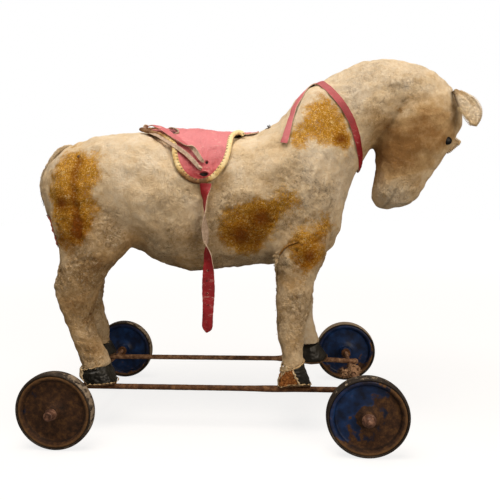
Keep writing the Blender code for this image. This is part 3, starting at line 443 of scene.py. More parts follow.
# Sprayed tan patches, as outlines on the side view
RUMP_PATCH = [(-0.285, 0.460), (-0.303, 0.444), (-0.314, 0.420), (-0.319, 0.380), (-0.312, 0.342),
              (-0.298, 0.308), (-0.287, 0.292), (-0.272, 0.292), (-0.256, 0.306), (-0.241, 0.332),
              (-0.228, 0.358), (-0.226, 0.384), (-0.221, 0.412), (-0.222, 0.432), (-0.234, 0.448),
              (-0.252, 0.456)]
RIB_PATCH = [(-0.041, 0.312), (-0.037, 0.345), (-0.019, 0.367), (0.012, 0.372), (0.040, 0.379),
             (0.062, 0.391), (0.081, 0.388), (0.085, 0.370), (0.077, 0.352), (0.056, 0.339), (0.042, 0.315),
             (0.026, 0.290), (0.000, 0.282), (-0.030, 0.290)]
ELBOW_PATCH = [(0.064, 0.309), (0.078, 0.327), (0.104, 0.340), (0.134, 0.345), (0.142, 0.330), (0.130, 0.307),
               (0.122, 0.286), (0.106, 0.268), (0.090, 0.246), (0.080, 0.258), (0.071, 0.282)]
NECK_PATCH = [(0.070, 0.455), (0.075, 0.478), (0.090, 0.498), (0.098, 0.522), (0.112, 0.537), (0.132, 0.532),
              (0.150, 0.505), (0.166, 0.480), (0.172, 0.455), (0.156, 0.440), (0.146, 0.452), (0.120, 0.458),
              (0.090, 0.452)]
PATCHES = [RUMP_PATCH, RIB_PATCH, ELBOW_PATCH, NECK_PATCH]
PATCH_EDGE = 0.0180
DARK_SPOTS = [(-0.259, 0.328, 0.020), (-0.290, 0.372, 0.014), (-0.006, 0.318, 0.022),
              (0.028, 0.345, 0.018), (0.101, 0.285, 0.016), (0.150, 0.462, 0.012), (0.242, 0.508, 0.005)]
# Soiling, painted shade and painted light on the side view: x, z, radius, amount. The small spot at x 0.316
# is painted shade in the eye's socket, the one at x 0.238 that lightens the muzzle is painted light, and the
# last four are painted shade under the saddle's flap.
SOIL_AND_SHADE_SPOTS = [(0.262, 0.458, 0.054, 0.60), (0.235, 0.432, 0.036, 0.42), (0.215, 0.490, 0.030, 0.25),
           (0.238, 0.374, 0.036, -0.20), (-0.225, 0.275, 0.060, 0.26), (0.300, 0.500, 0.040, 0.22),
           (0.330, 0.480, 0.040, 0.20), (0.316, 0.462, 0.010, 0.30), (-0.235, 0.180, 0.070, 0.28),
           (0.190, 0.570, 0.050, -0.12), (0.125, 0.388, 0.048, -0.15), (-0.090, 0.270, 0.060, 0.16),
           (0.070, 0.230, 0.050, 0.10), (-0.060, 0.388, 0.012, 0.35), (-0.040, 0.394, 0.012, 0.32),
           (-0.080, 0.392, 0.010, 0.25), (-0.026, 0.408, 0.010, 0.20)]
# Seams that have opened or frayed, in space: behind the hind leg, and down the back of the fore leg
OPEN_SEAM = [(-0.3325, -0.060, 0.3509), (-0.3200, -0.075, 0.3410), (-0.3127, -0.083, 0.3315),
             (-0.3070, -0.087, 0.3160), (-0.3035, -0.087, 0.3000)]
LEG_SEAM = [(0.0500, -0.081, 0.262), (0.0480, -0.076, 0.213), (0.0530, -0.085, 0.166),
            (0.0590, -0.093, 0.124)]


def paint(mesh, name, values):
    """Store one number for each point of a mesh, which its material reads."""
    layer = mesh.attributes.new(name, "FLOAT", "POINT")
    layer.data.foreach_set("value", values.astype(np.float32))


def tan_and_shade_strength(places):
    """How much tan is sprayed at each place, from 0 to 1, and up to 2 where it is darkest, with painted shade
    added down the rump's fold.
    """
    side_view = places[:, [0, 2]]
    wavering = 0.0060 * ruffle(places, 0.024, 21.0) + 0.0045 * ruffle(places, 0.010, 5.0)
    strength = np.zeros(len(places))
    for outline in PATCHES:
        inside = outline_distance(side_view, outline) + wavering
        strength = np.maximum(strength, soft_step(inside, -PATCH_EDGE * 0.7, PATCH_EDGE))
    for x, z, radius in DARK_SPOTS:
        strength += 0.7 * spot(side_view, x, z, radius)
    # Painted shade: the tan is darker down the rump's fold.
    strength += 0.5 * ridge(side_view, RUMP_FOLD, 0.008)
    return strength


def soil_and_shade_at(places):
    """How soiled and shaded the pile is at each place, from 0 to 1: darker towards the bottom and soiled in
    spots, with painted shade and painted light in some of them.
    """
    side_view = places[:, [0, 2]]
    soiled_and_shaded = 0.04 + 0.22 * soft_step(-places[:, 2], -0.48, -0.26)
    for x, z, radius, amount in SOIL_AND_SHADE_SPOTS:
        soiled_and_shaded += amount * spot(side_view, x, z, radius)
    soiled_and_shaded += (0.10 * ruffle(places, 0.030, 17.0)
               + 0.10 * ruffle(places, 0.013, 5.0) * soft_step(side_view[:, 0], 0.20, 0.26))
    # The lower left fore leg is painted lighter: painted light.
    soiled_and_shaded -= (0.24 * soft_step(places[:, 1], 0.02, 0.05) * soft_step(side_view[:, 0], 0.05, 0.08)
               * soft_step(-places[:, 2], -0.26, -0.22))
    return np.clip(soiled_and_shaded, 0, 1)


def seam_and_shade_strength(places):
    """How dark a seam or a fold is at each place, from 0 to 1. The open seams and the mouth's seam are dark
    of themselves; the jaw's fold is painted shade, and the armpit's tucked fold partly.
    """
    side_view = places[:, [0, 2]]
    strength = np.zeros(len(places))
    for points, route, half_width, amount in (
            (side_view, ARMPIT_FOLD, 0.0020, 0.65), (side_view, MOUTH_FOLD, 0.0024, 0.35),
            (side_view, JAW_FOLD, 0.0030, 0.30), (places, OPEN_SEAM, 0.0040, 0.9),
            (places, LEG_SEAM, 0.0022, 0.55)):
        strength = np.maximum(strength, amount * ridge(points, route, half_width))
    return strength


skin_places, _ = read_points(cover.data)
paint(cover.data, "tan_and_shade", tan_and_shade_strength(skin_places))
paint(cover.data, "seam_and_shade", seam_and_shade_strength(skin_places))
paint(cover.data, "soil_and_shade", soil_and_shade_at(skin_places))
paint(cover.data, "matted", matted)
# The short creases are painted darker: painted shade.
paint(cover.data, "crease_shade", creased)


def new_surface(name):
    """A new material: itself, its node tree, its shader, and the place that its patterns are drawn by."""
    made = bpy.data.materials.new(name)
    made.use_nodes = True
    tree = made.node_tree
    return made, tree, tree.nodes["Principled BSDF"], node(tree, "TexCoord").outputs["Object"]


def grain(tree, place, scale, detail, roughness=0.5, distortion=0.0):
    """Cloudy noise, with this many waves to the metre."""
    return node(tree, "TexNoise", {"Vector": place, "Scale": scale, "Detail": detail, "Roughness": roughness,
                                   "Distortion": distortion}).outputs["Fac"]


def ramp(tree, value, *stops):
    """A colour looked up by a value: positions and hex codes."""
    return node(tree, "ValToRGB", {"Fac": value}, stops=[(at, linear(code)) for at, code in stops]).outputs[0]


def attribute(tree, name):
    """A number painted on the mesh."""
    return node(tree, "Attribute", attribute_name=name).outputs["Fac"]


def wire(tree, shader, **values):
    """Set sockets of a shader, named with underscores for spaces, to values or to other nodes' outputs."""
    for name, value in values.items():
        socket = shader.inputs[name.replace("_", " ")]
        if isinstance(value, bpy.types.NodeSocket):
            tree.links.new(value, socket)
        else:
            socket.default_value = value


def bump(tree, height, strength, distance, under=None):
    """A relief of this depth in metres, on top of another one where that is given."""
    sockets = {"Strength": strength, "Distance": distance, "Height": height}
    if under:
        sockets["Normal"] = under
    return node(tree, "Bump", sockets).outputs[0]


def plush_material():
    """Mohair plush: short pile on cotton, which scatters light at its edges. Age has matted and soiled it.
    Painted shade darkens its creases, folds and the gaps between its tufts, and painted highlights lighten
    the tufts' tips.
    """
    made, tree, shader, place = new_surface("worn_mohair_plush")
    tan_and_shade, seam_and_shade, soil_and_shade, matted, crease_shade = [attribute(tree, name)
                                       for name in ("tan_and_shade", "seam_and_shade", "soil_and_shade", "matted", "crease_shade")]
    # Cream, lighter on top and darker towards the bottom, with broad soiling about 60 mm across and finer
    # about
    # 6 mm across, and darker where painted shade lies
    broad = grain(tree, place, 16, 5, 0.65)
    fine = grain(tree, place, 150, 5, 0.7)
    dirt_and_shade = maths(tree, "MULTIPLY_ADD", fine, 0.60, maths(tree, "MULTIPLY_ADD", broad, 0.55, soil_and_shade))
    cream = ramp(tree, maths(tree, "MULTIPLY", dirt_and_shade, 0.5),
                 (0.22, "#FCEED6"), (0.36, "#F0D9B4"), (0.52, "#CEAC7C"), (0.68, "#9E7648"))
    # Tufts about 4 mm across, with painted shade in the gaps between them and painted highlights on their
    # tips where the pile is matted
    tufts = grain(tree, place, 230, 5, 0.66, 1.2)
    gap_share = maths(tree, "MULTIPLY", remap(tree, tufts, 0.33, 0.48, 0.85, 0.0), matted)
    # Curls of pile about 7 mm across, outlined by thin lines of painted shade
    curls = grain(tree, place, 140, 3, 0.55, 1.6)
    outline = maths(tree, "ABSOLUTE", maths(tree, "SUBTRACT", curls, 0.5))
    where = maths(tree, "MULTIPLY", remap(tree, grain(tree, place, 62, 2), 0.46, 0.58), matted)
    outlined = maths(tree, "MULTIPLY", remap(tree, outline, 0.0, 0.022, 1.0, 0.0), where)
    shade = maths(tree, "MULTIPLY_ADD", crease_shade, 0.40, gap_share)
    shade = remap(tree, maths(tree, "MULTIPLY_ADD", outlined, 0.75, shade), 0.0, 1.0, 0.0, 0.72)
    tip_highlight = maths(tree, "MULTIPLY", remap(tree, tufts, 0.54, 0.66, 0.0, 0.62), matted)
    soiled_and_shaded = mix(tree, tip_highlight, mix(tree, shade, cream, "#6E4214"), "#F6E8CE")
    # Tan spray: the tips of the pile are brown and light hairs show between them
    hairs = grain(tree, place, 290, 4, 0.68, 1.4)
    ochre = ramp(tree, hairs, (0.32, "#784804"), (0.46, "#BC7E0E"), (0.56, "#DCA638"), (0.66, "#F6E2AE"))
    darkest = maths(tree, "MAXIMUM", remap(tree, tan_and_shade, 1.0, 1.7, 0.0, 0.85),
                    remap(tree, soil_and_shade, 0.15, 0.34, 0.0, 0.50))
    brown = mix(tree, darkest, ochre, "#7A3600")
    # Where the spray is thin it has only caught the tips, so its edge breaks up into specks
    edge = maths(tree, "ADD", tan_and_shade, maths(tree, "MULTIPLY_ADD", hairs, 2.6, -1.30))
    edge = maths(tree, "ADD", edge, maths(tree, "MULTIPLY_ADD", fine, 0.9, -0.45))
    sprayed = remap(tree, edge, 0.10, 0.95, 0.0, 0.985, interpolation_type="SMOOTHSTEP")
    dyed = mix(tree, sprayed, soiled_and_shaded, brown)
    # Pile about 3 mm long, drawn as rounded tufts with finer hair on them
    lumps = maths(tree, "MULTIPLY_ADD", outlined, -0.30, tufts)
    lumps = maths(tree, "MULTIPLY", lumps, remap(tree, matted, 0.0, 1.0, 0.30, 1.0))
    relief = bump(tree, grain(tree, place, 560, 3, 0.6), 1.0, 0.0021, bump(tree, lumps, 1.0, 0.0072))
    # Seams are dark, and the folds are darkened with painted shade
    # The sprayed tips are stuck together, so only the plain pile scatters light at its edges
    wire(tree, shader, Base_Color=mix(tree, seam_and_shade, dyed, "#4A301A"), Roughness=0.95, Specular_IOR_Level=0.05,
         Sheen_Weight=remap(tree, sprayed, 0.0, 1.0, 0.10, 0.0), Sheen_Roughness=0.50,
         Sheen_Tint=linear("#F4E2CA"), Normal=relief)
    return made


plush = plush_material()
cover.data.materials.clear()
cover.data.materials.append(plush)
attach(cover, "horse")
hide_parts(*PLUSH_NODES, *STUFFING_NODES)

# Wheels
# Pressed steel discs with a rolled lip and a dished web, once enamelled navy blue and now rusted through
# in places. Each is turned from the hub outwards and back, and a rubber tyre is pressed on its rim.
AXLE_X = {"front": 0.1807, "rear": -0.2853}
WHEEL_Y = 0.1636
WHEEL_RADIUS = 0.0600
WHEEL_STEPS = 96
START_RADIUS = 0.001
POLE_RADIUS = 0.00001


def lathe(name, profile, steps=WHEEL_STEPS):
    """A ring pulled through a profile of radius and y, about the Y axis. A zero radius closes a pole."""
    first_radius, first_y = profile[0]
    bpy.ops.object.select_all(action="DESELECT")
    radius = max(first_radius, START_RADIUS)
    bpy.ops.mesh.primitive_circle_add(vertices=steps, radius=radius, rotation=(math.pi / 2, 0, 0))
    piece = bpy.context.object
    piece.name = name
    bpy.ops.object.transform_apply(location=True, rotation=True, scale=True)
    bpy.ops.object.mode_set(mode="EDIT")
    bpy.ops.mesh.select_all(action="SELECT")
    bpy.ops.transform.translate(value=(0, first_y, 0))
    y = first_y
    for next_radius, next_y in profile[1:]:
        bpy.ops.mesh.extrude_region_move(TRANSFORM_OT_translate={"value": (0, next_y - y, 0)})
        y = next_y
        factor = max(next_radius, POLE_RADIUS) / radius
        bpy.ops.transform.resize(value=(factor, 1, factor), center_override=(0, y, 0))
        radius = max(next_radius, POLE_RADIUS)
    bpy.ops.mesh.select_all(action="SELECT")
    bpy.ops.mesh.remove_doubles(threshold=0.00005)
    bpy.ops.mesh.normals_make_consistent(inside=False)
    bpy.ops.object.mode_set(mode="OBJECT")
    bpy.ops.object.shade_smooth_by_angle(angle=math.radians(40))
    return piece


def rounded(profile, steps=3, share=0.3):
    """The profile with each inner corner cut into a short arc."""
    made = [profile[0]]
    for before, corner, after in zip(profile, profile[1:], profile[2:]):
        before, corner, after = Vector(before), Vector(corner), Vector(after)
        start = corner.lerp(before, share)
        end = corner.lerp(after, share)
        for i in range(steps + 1):
            t = i / steps
            made.append(tuple(start.lerp(corner, t).lerp(corner.lerp(end, t), t)))
    return made + [profile[-1]]


def move_to(piece, place, scale=(1, 1, 1)):
    """Put a piece at its place, and leave its object at the origin."""
    select_only(piece)
    piece.location = place
    piece.scale = scale
    bpy.ops.object.transform_apply(location=True, rotation=True, scale=True)
    if scale[0] * scale[1] * scale[2] < 0:
        bpy.ops.object.mode_set(mode="EDIT")
        bpy.ops.mesh.select_all(action="SELECT")
        bpy.ops.mesh.flip_normals()
        bpy.ops.object.mode_set(mode="OBJECT")


def copy_of(piece, name):
    made = piece.copy()
    made.data = piece.data.copy()
    made.name = name
    bpy.context.scene.collection.objects.link(made)
    return made


WHEEL_HALF_PROFILE = [(0.0038, -0.0140), (0.0098, -0.0140), (0.0108, -0.0132), (0.0112, -0.0075),
                      (0.0190, -0.0034), (0.0300, -0.0020), (0.0440, -0.0014), (0.0470, -0.0024),
                      (0.0486, -0.0062), (0.0502, -0.0078), (0.0530, -0.0088), (0.0548, -0.0082),
                      (0.0552, -0.0068), (0.0530, -0.0060), (0.0515, -0.0052)]
wheel_profile = rounded(WHEEL_HALF_PROFILE) + [(r, -y) for r, y in reversed(rounded(WHEEL_HALF_PROFILE))]
wheel = lathe("pressed_wheel", wheel_profile + [wheel_profile[0]])

TYRE_HALF_PROFILE = [(0.0519, -0.0049), (0.0555, -0.0064), (0.0558, -0.0086), (0.0572, -0.0090),
                     (0.0590, -0.0080), (0.0598, -0.0050), (0.0600, 0.0000)]
tyre_profile = rounded(TYRE_HALF_PROFILE) + [(r, -y) for r, y in reversed(rounded(TYRE_HALF_PROFILE))][1:]
tyre = lathe("tyre", tyre_profile + [tyre_profile[0]])


def enamel_material(name, centre, rust_from, rust_amount, hub_rust):
    """Navy enamel on steel: glossy where it is whole, with rust spreading from one side and from the hub.
    Painted shade darkens the corner of the rim.
    """
    made, tree, shader, place = new_surface(name)
    local = node(tree, "Mapping", {"Vector": place, "Location": [-c for c in centre]}).outputs[0]
    across = node(tree, "VectorMath", {0: local, 1: (rust_from[0], 0, rust_from[1])}, operation="DOT_PRODUCT")
    flat = node(tree, "VectorMath", {0: local, 1: (1, 0, 1)}, operation="MULTIPLY")
    from_hub = node(tree, "VectorMath", {0: flat.outputs[0]}, operation="LENGTH").outputs["Value"]
    patches = grain(tree, place, 55, 6, 0.6)
    leaning = maths(tree, "MULTIPLY_ADD", across.outputs["Value"], 14.0, rust_amount)
    uneven = maths(tree, "MULTIPLY_ADD", patches, 2.4, leaning)
    wear_and_shade = maths(tree, "ADD", remap(tree, from_hub, 0.012, 0.019, hub_rust, 0.0),
                 remap(tree, from_hub, 0.047, 0.053, 0.0, 0.30))
    rusted = remap(tree, maths(tree, "ADD", uneven, wear_and_shade), 1.30, 1.48)
    grit = grain(tree, place, 110, 7, 0.72)
    blue = ramp(tree, patches, (0.35, "#08142C"), (0.52, "#102A54"), (0.68, "#1A3E74"))
    rust = ramp(tree, grit, (0.30, "#180F08"), (0.50, "#40291A"), (0.70, "#674828"))
    # The corner of the rim is darkened with painted shade, and the rolled lip is rubbed to a paler brown
    # where it has rusted
    corner = maths(tree, "MULTIPLY", maths(tree, "COMPARE", from_hub, 0.0474, 0.0009), 0.45)
    colour = mix(tree, corner, mix(tree, rusted, blue, rust), "#0C0A0A")
    lip = maths(tree, "MULTIPLY", remap(tree, from_hub, 0.0500, 0.0525, 0.0, 1.5), grit)
    lip = maths(tree, "MULTIPLY", lip, remap(tree, rusted, 0.0, 1.0, 0.08, 0.8))
    wire(tree, shader, Base_Color=mix(tree, lip, colour, "#7A5A38"), Specular_IOR_Level=0.30,
         Roughness=remap(tree, rusted, 0.0, 1.0, 0.42, 0.80),
         Normal=bump(tree, maths(tree, "MULTIPLY", grit, rusted), 0.6, 0.0006))
    return made


def cells(tree, place, scale, feature):
    """Distances in a pattern of cells, with about this many to the metre."""
    return node(tree, "TexVoronoi", {"Vector": place, "Scale": scale}, feature=feature).outputs["Distance"]


def rubber_material():
    """Old tyre rubber: grey black, perished and dusty, with a pale bloom where it has flaked."""
    made, tree, shader, place = new_surface("perished_tyre_rubber")
    bloom = grain(tree, place, 38, 7, 0.7)
    relief = maths(tree, "ADD", cells(tree, place, 420.0, "DISTANCE_TO_EDGE"), bloom)
    colour = ramp(tree, bloom, (0.30, "#1A1512"), (0.52, "#2E2620"), (0.66, "#544A40"), (0.78, "#8A7C6C"))
    share = maths(tree, "MULTIPLY_ADD", attribute(tree, "bloom"), 0.40, grain(tree, place, 130, 6, 0.7))
    wire(tree, shader, Base_Color=mix(tree, remap(tree, share, 0.71, 0.82, 0.0, 0.85), colour, "#A49480"),
         Roughness=0.70, Specular_IOR_Level=0.30, Normal=bump(tree, relief, 0.35, 0.0005))
    return made


rubber = rubber_material()
# How each wheel has rusted: the way that the rust comes from, on the side view, how much there is, and how
# much on the hub
RUST = {"front_right": ((0.90, -0.55), 0.20, 1.0), "front_left": ((0.3, -0.95), -0.28, 0.15),
        "rear_right": ((0.8, -0.2), 0.88, 1.0), "rear_left": ((0.2, -0.9), -0.55, 0.10)}
# The side of each tread where the rubber has gone pale, on the side view, and how much
TYRE_BLOOM = {"front_right": ((-0.3, 0.95), 0.40), "front_left": ((0.0, 1.0), 1.9),
              "rear_right": ((0.95, 0.30), 0.72), "rear_left": ((0.9, 0.4), 0.8)}
SIDES = {"right": -1, "left": 1}
for end, axle_x in AXLE_X.items():
    for side_name, side in SIDES.items():
        which = f"{end}_{side_name}"
        centre = (axle_x, side * WHEEL_Y, WHEEL_RADIUS)
        body = which + "_wheel"
        disc = copy_of(wheel, which + "_disc")
        move_to(disc, centre)
        disc.data.materials.append(enamel_material(which + "_navy_enamel", centre, *RUST[which]))
        ring = copy_of(tyre, which + "_rubber")
        move_to(ring, centre)
        ring.data.materials.append(rubber)
        places, _ = read_points(ring.data)
        x, z = places[:, 0] - axle_x, places[:, 2] - WHEEL_RADIUS
        radius = np.hypot(x, z)
        (way_x, way_z), amount = TYRE_BLOOM[which]
        facing = (x * way_x + z * way_z) / radius
        paint(ring.data, "bloom", amount * soft_step(radius, 0.0570, 0.0592) * soft_step(facing, 0.1, 0.9))
        for piece, cad_node, slot_name in ((disc, which + "_wheel", "painted_steel"),
                                           (ring, which + "_tyre", "tyre_rubber")):
            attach(piece, body)
            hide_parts(cad_node)
bpy.data.objects.remove(wheel)
bpy.data.objects.remove(tyre)


# Axles, frame rods and caps
# Plain iron bar, brown and pitted with rust. The rods lie on the axles and are welded to them, and a
# driven cap keeps each wheel on.
AXLE_RADIUS = 0.0035
AXLE_REACH = 0.1839
ROD_RADIUS = 0.0045
ROD_Y = 0.0810
ROD_Z = 0.0683
ROD_ENDS = (-0.3143, 0.1967)


def iron_material(name, shades, rough=0.68, relief=0.0008):
    """Rusted mild steel: matt brown scale with darker pits, and hardly any bare metal."""
    made, tree, shader, place = new_surface(name)
    scale = grain(tree, place, 120, 6, 0.7)
    wire(tree, shader, Base_Color=ramp(tree, scale, *zip((0.30, 0.48, 0.60, 0.75), shades)), Metallic=0.15,
         Specular_IOR_Level=0.30, Roughness=rough, Normal=bump(tree, scale, 0.7, relief))
    return made


iron = iron_material("rusted_iron_bar", ("#2E1A0C", "#5C3C24", "#7A5638", "#A07850"))
dusty_iron = iron_material("dusty_rusted_bar", ("#503626", "#8A6850", "#B8927A", "#D2B49C"))
# A paler copy of the rusted iron for the left rod, which lies in the body's shade: painted light.
lightened_iron = iron_material("lightened_rusted_bar", ("#402C20", "#7C5A42", "#A48062", "#C4A080"))
oiled_iron = iron_material("oily_rusted_cap", ("#34231A", "#5E4236", "#84614F", "#A8846E"), 0.42, 0.0002)


def rusty_bar(name, start, end, radius, lumps, finish_of, steps=32):
    """A bar with rounded ends, whose thickness wanders with the rust on it."""
    start, end = Vector(start), Vector(end)
    length = (end - start).length
    stations = max(12, int(length / 0.004))
    profile = [(0.0, 0.0), (radius * 0.7, 0.0), (radius * 0.95, radius * 0.3)]
    for i in range(1, stations):
        y = length * i / stations
        wander = (noise.noise(Vector((y / 0.012, radius * 900, 4)))
                  + 0.6 * noise.noise(Vector((y / 0.005, 7, 2))))
        grown = sum(height * math.exp(-((y - middle) / half) ** 2) for middle, half, height in lumps)
        profile.append((radius * (1 + 0.05 * wander) + grown, y))
    profile += [(radius * 0.95, length - radius * 0.3), (radius * 0.7, length), (0.0, length)]
    bar = lathe(name, profile, steps)
    select_only(bar)
    bar.rotation_euler = (end - start).to_track_quat("Y", "Z").to_euler()
    bar.location = start
    bpy.ops.object.transform_apply(location=True, rotation=True, scale=True)
    bar.data.materials.append(finish_of)
    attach(bar, "horse")
    return bar


for end, axle_x in AXLE_X.items():
    right_end, left_end = [(axle_x, side * AXLE_REACH, WHEEL_RADIUS) for side in (-1, 1)]
    axle = rusty_bar(end + "_axle_bar", right_end, left_end, AXLE_RADIUS, [], dusty_iron)
    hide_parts(end + "_axle")
# Lumps of scale and old solder on the rods: distance from the rear end, half length, height
ROD_LUMPS = {"right": [(0.355, 0.030, 0.0009), (0.012, 0.008, 0.0006)],
             "left": [(0.370, 0.010, 0.0018), (0.505, 0.006, 0.0012)]}
for side_name, side in SIDES.items():
    rear_end, front_end = [(x, side * ROD_Y, ROD_Z) for x in ROD_ENDS]
    # The left rod takes the paler iron: painted light.
    rod = rusty_bar(side_name + "_frame_bar", rear_end, front_end, ROD_RADIUS, ROD_LUMPS[side_name],
                    iron if side < 0 else lightened_iron)
    if side > 0:
        # The left rod's front end is bent down where it is welded to the axle
        places, _ = read_points(rod.data)
        places[:, 2] -= 0.0038 * soft_step(places[:, 0], 0.090, 0.2200) * 1.25
        write_points(rod.data, places)
    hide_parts(side_name + "_frame_rod")

CAP_PROFILE = [(0.0038, 0.0000), (0.0100, 0.0000), (0.0102, -0.0016), (0.0084, -0.0024), (0.0080, -0.0060),
               (0.0066, -0.0086), (0.0042, -0.0096), (0.0036, -0.0108), (0.0022, -0.0116), (0.0, -0.0118),
               (0.0, -0.0064), (0.0038, -0.0064), (0.0038, 0.0000)]
SLEEVE_PROFILE = [(0.0038, 0.0000), (0.0090, 0.0000), (0.0092, -0.0014), (0.0074, -0.0022), (0.0070, -0.0105),
                  (0.0060, -0.0114), (0.0048, -0.0112), (0.0042, -0.0092), (0.0, -0.0088), (0.0, -0.0064),
                  (0.0038, -0.0064), (0.0038, 0.0000)]
CAP_GAP_Y = 0.0143
WASHER_PROFILE = [(0.0040, -0.0015), (0.0086, -0.0015), (0.0090, -0.0011), (0.0090, 0.0011), (0.0086, 0.0015),
                  (0.0040, 0.0015), (0.0040, -0.0015)]
for end, axle_x in AXLE_X.items():
    for side_name, side in SIDES.items():
        which = f"{end}_{side_name}"
        cap = lathe(which + "_cap", CAP_PROFILE if end == "front" else SLEEVE_PROFILE, 48)
        move_to(cap, (axle_x, side * (WHEEL_Y + CAP_GAP_Y), WHEEL_RADIUS), (1, -side, 1))
        washer = lathe(which + "_washer", WASHER_PROFILE, 48)
        move_to(washer, (axle_x, side * (WHEEL_Y - CAP_GAP_Y - 0.0015), WHEEL_RADIUS))
        for piece, cad_node in ((cap, which + "_axle_cap"), (washer, which + "_axle_washer")):
            piece.data.materials.append(oiled_iron if piece is cap else iron)
            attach(piece, "horse")
            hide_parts(cad_node)


def recolour(node_name, material):
    """Give its material to a CAD node that is shown as it is."""
    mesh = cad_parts[node_name].data
    mesh.materials.clear()
    mesh.materials.append(material)


for name in IRON_NODES:
    recolour(name, iron)

# Hooves and soles
# Black oilcloth sewn over the foot, cracked and pulled open at the edges, on a flat leather sole. The
# right fore hoof has lost its heel: cotton backing hangs there, and wood wool shows.
HOOF_VOXEL = 0.0012


def oilcloth_material():
    """Oilcloth: cotton under a baked black oil coat, glossy in places, creased, and grey where rubbed."""
    made, tree, shader, place = new_surface("cracked_black_oilcloth")
    creases = grain(tree, place, 55, 5, 0.6, 0.6)
    colour = ramp(tree, creases, (0.35, "#0E0E0B"), (0.60, "#22211B"), (0.80, "#3C3A30"))
    wire(tree, shader, Base_Color=colour, Roughness=remap(tree, creases, 0.35, 0.65, 0.38, 0.52),
         Normal=bump(tree, creases, 0.6, 0.0007))
    return made


def grained_material(name, dark, light, size, rough, relief=0.0006):
    """A matt finish whose colour wanders between two, with grain of a size in metres."""
    made, tree, shader, place = new_surface(name)
    pattern = grain(tree, place, 1 / size, 5, 0.65)
    wire(tree, shader, Base_Color=ramp(tree, pattern, (0.32, dark), (0.66, light)), Roughness=rough,
         Normal=bump(tree, pattern, 0.6, relief))
    return made


def roughen(piece, *waves):
    """Push a piece's points in and out by waves of height, size and seed, and say where they were."""
    places, normals = read_points(piece.data)
    push = sum(height * ruffle(places, size, seed) for height, size, seed in waves)
    write_points(piece.data, places + normals * push[:, None])
    return places


def level_way(angle):
    """The way that an angle points, seen from above."""
    return Vector((math.cos(angle), math.sin(angle), 0))


def finish(piece, material, body="horse"):
    """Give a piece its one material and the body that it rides."""
    piece.data.materials.clear()
    piece.data.materials.append(material)
    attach(piece, body)


def strands(name, routes, radius, taper=0.4, points=7):
    """Threads of round section, one for each route, thinner towards their ends. One mesh holds them all."""
    curve = bpy.data.curves.new(name, "CURVE")
    curve.dimensions = "3D"
    curve.bevel_depth = radius
    curve.bevel_resolution = 1
    curve.use_fill_caps = True
    for route in routes:
        spline = curve.splines.new("POLY")
        fine = smooth_route(route, points)
        spline.points.add(len(fine) - 1)
        for i, place in enumerate(fine):
            spline.points[i].co = (*place[:3], 1)
            spline.points[i].radius = 1 - (1 - taper) * abs(2 * i / (len(fine) - 1) - 1) ** 3
    piece = new_piece(name, curve)
    bpy.ops.object.convert(target="MESH")
    piece = bpy.context.object
    piece.name = name
    piece.data.shade_smooth()
    return piece


def run_lengths(route):
    """How far along a route each of its places is."""
    return np.concatenate([[0], np.cumsum(np.linalg.norm(np.diff(route, axis=0), axis=1))])


def smooth_route(stations, count):
    """Evenly spaced stations on a smooth curve through the given ones. Their first values are their place."""
    given = np.array(stations, float)
    ends = np.vstack([2 * given[0] - given[1], given, 2 * given[-1] - given[-2]])
    fine = []
    for a, b, c, d in zip(ends, ends[1:], ends[2:], ends[3:]):
        for t in np.linspace(0, 1, 16, endpoint=False):
            fine.append(0.5 * (2 * b + (c - a) * t + (2 * a - 5 * b + 4 * c - d) * t * t
                               + (3 * b - a - 3 * c + d) * t ** 3))
    fine = np.array(fine + [given[-1]])
    run = run_lengths(fine[:, :3])
    return np.array([np.interp(np.linspace(0, run[-1], count), run, values) for values in fine.T]).T


def foot_ring(which, lift, drop, count=72, start=0.0, end=2 * math.pi):
    """Places round a foot on its plush's edge, lifted off and dropped below it, with their outward ways."""
    middle_x, side, height, rise = FOOT_EDGES[which]
    centre = Vector((middle_x + 0.003, side * FOOT_Y, height))
    made = []
    for i in range(count):
        angle = start + (end - start) * i / count
        outward = level_way(angle)
        origin = centre + Vector((0, 0, 0.002))
        place, _, _, _ = smooth_skin.ray_cast(origin, outward)
        if place is None:
            continue
        place = place + outward * lift
        place.z = height + rise * (place.x - middle_x) - drop
        made.append((Vector(pulled(which, [place])[0]), outward))
    return made


def grid_piece(name, places):
    """A sheet of quads laid through rows of places. Its good side is left of the rows' way, from above."""
    rows, columns, _ = places.shape
    bpy.ops.object.select_all(action="DESELECT")
    bpy.ops.mesh.primitive_grid_add(x_subdivisions=columns - 1, y_subdivisions=rows - 1, size=1)
    piece = bpy.context.object
    piece.name = name
    write_points(piece.data, places.reshape(-1, 3))
    piece.data.shade_smooth()
    return piece


def thicken(piece, thickness, materials=(), edge=0.0004, offset=-1.0, softening=0):
    """Give a sheet its thickness, and materials for its good side, its back and its cut edge."""
    for material in materials:
        piece.data.materials.append(material)
    add_modifier(piece, "SOLIDIFY", thickness=thickness, offset=offset,
                 material_offset=1, material_offset_rim=2)
    add_modifier(piece, "BEVEL", width=edge, segments=2, limit_method="ANGLE", angle_limit=math.radians(50))
    if softening:
        add_modifier(piece, "SUBSURF", levels=softening, render_levels=softening)
    apply_modifiers(piece)
    piece.data.shade_smooth()


oilcloth = oilcloth_material()
sole_leather = grained_material("worn_sole_leather", "#2A1A10", "#7A5C3E", 0.005, 0.85)
frayed_cotton = grained_material("frayed_cotton_backing", "#A88A62", "#EAD8B4", 0.0025, 0.95)
hem_cotton = grained_material("soiled_hem", "#9A7A50", "#D8C096", 0.0030, 0.95)
wood_wool = grained_material("wood_wool_stuffing", "#70380E", "#D08C48", 0.0026, 0.85)
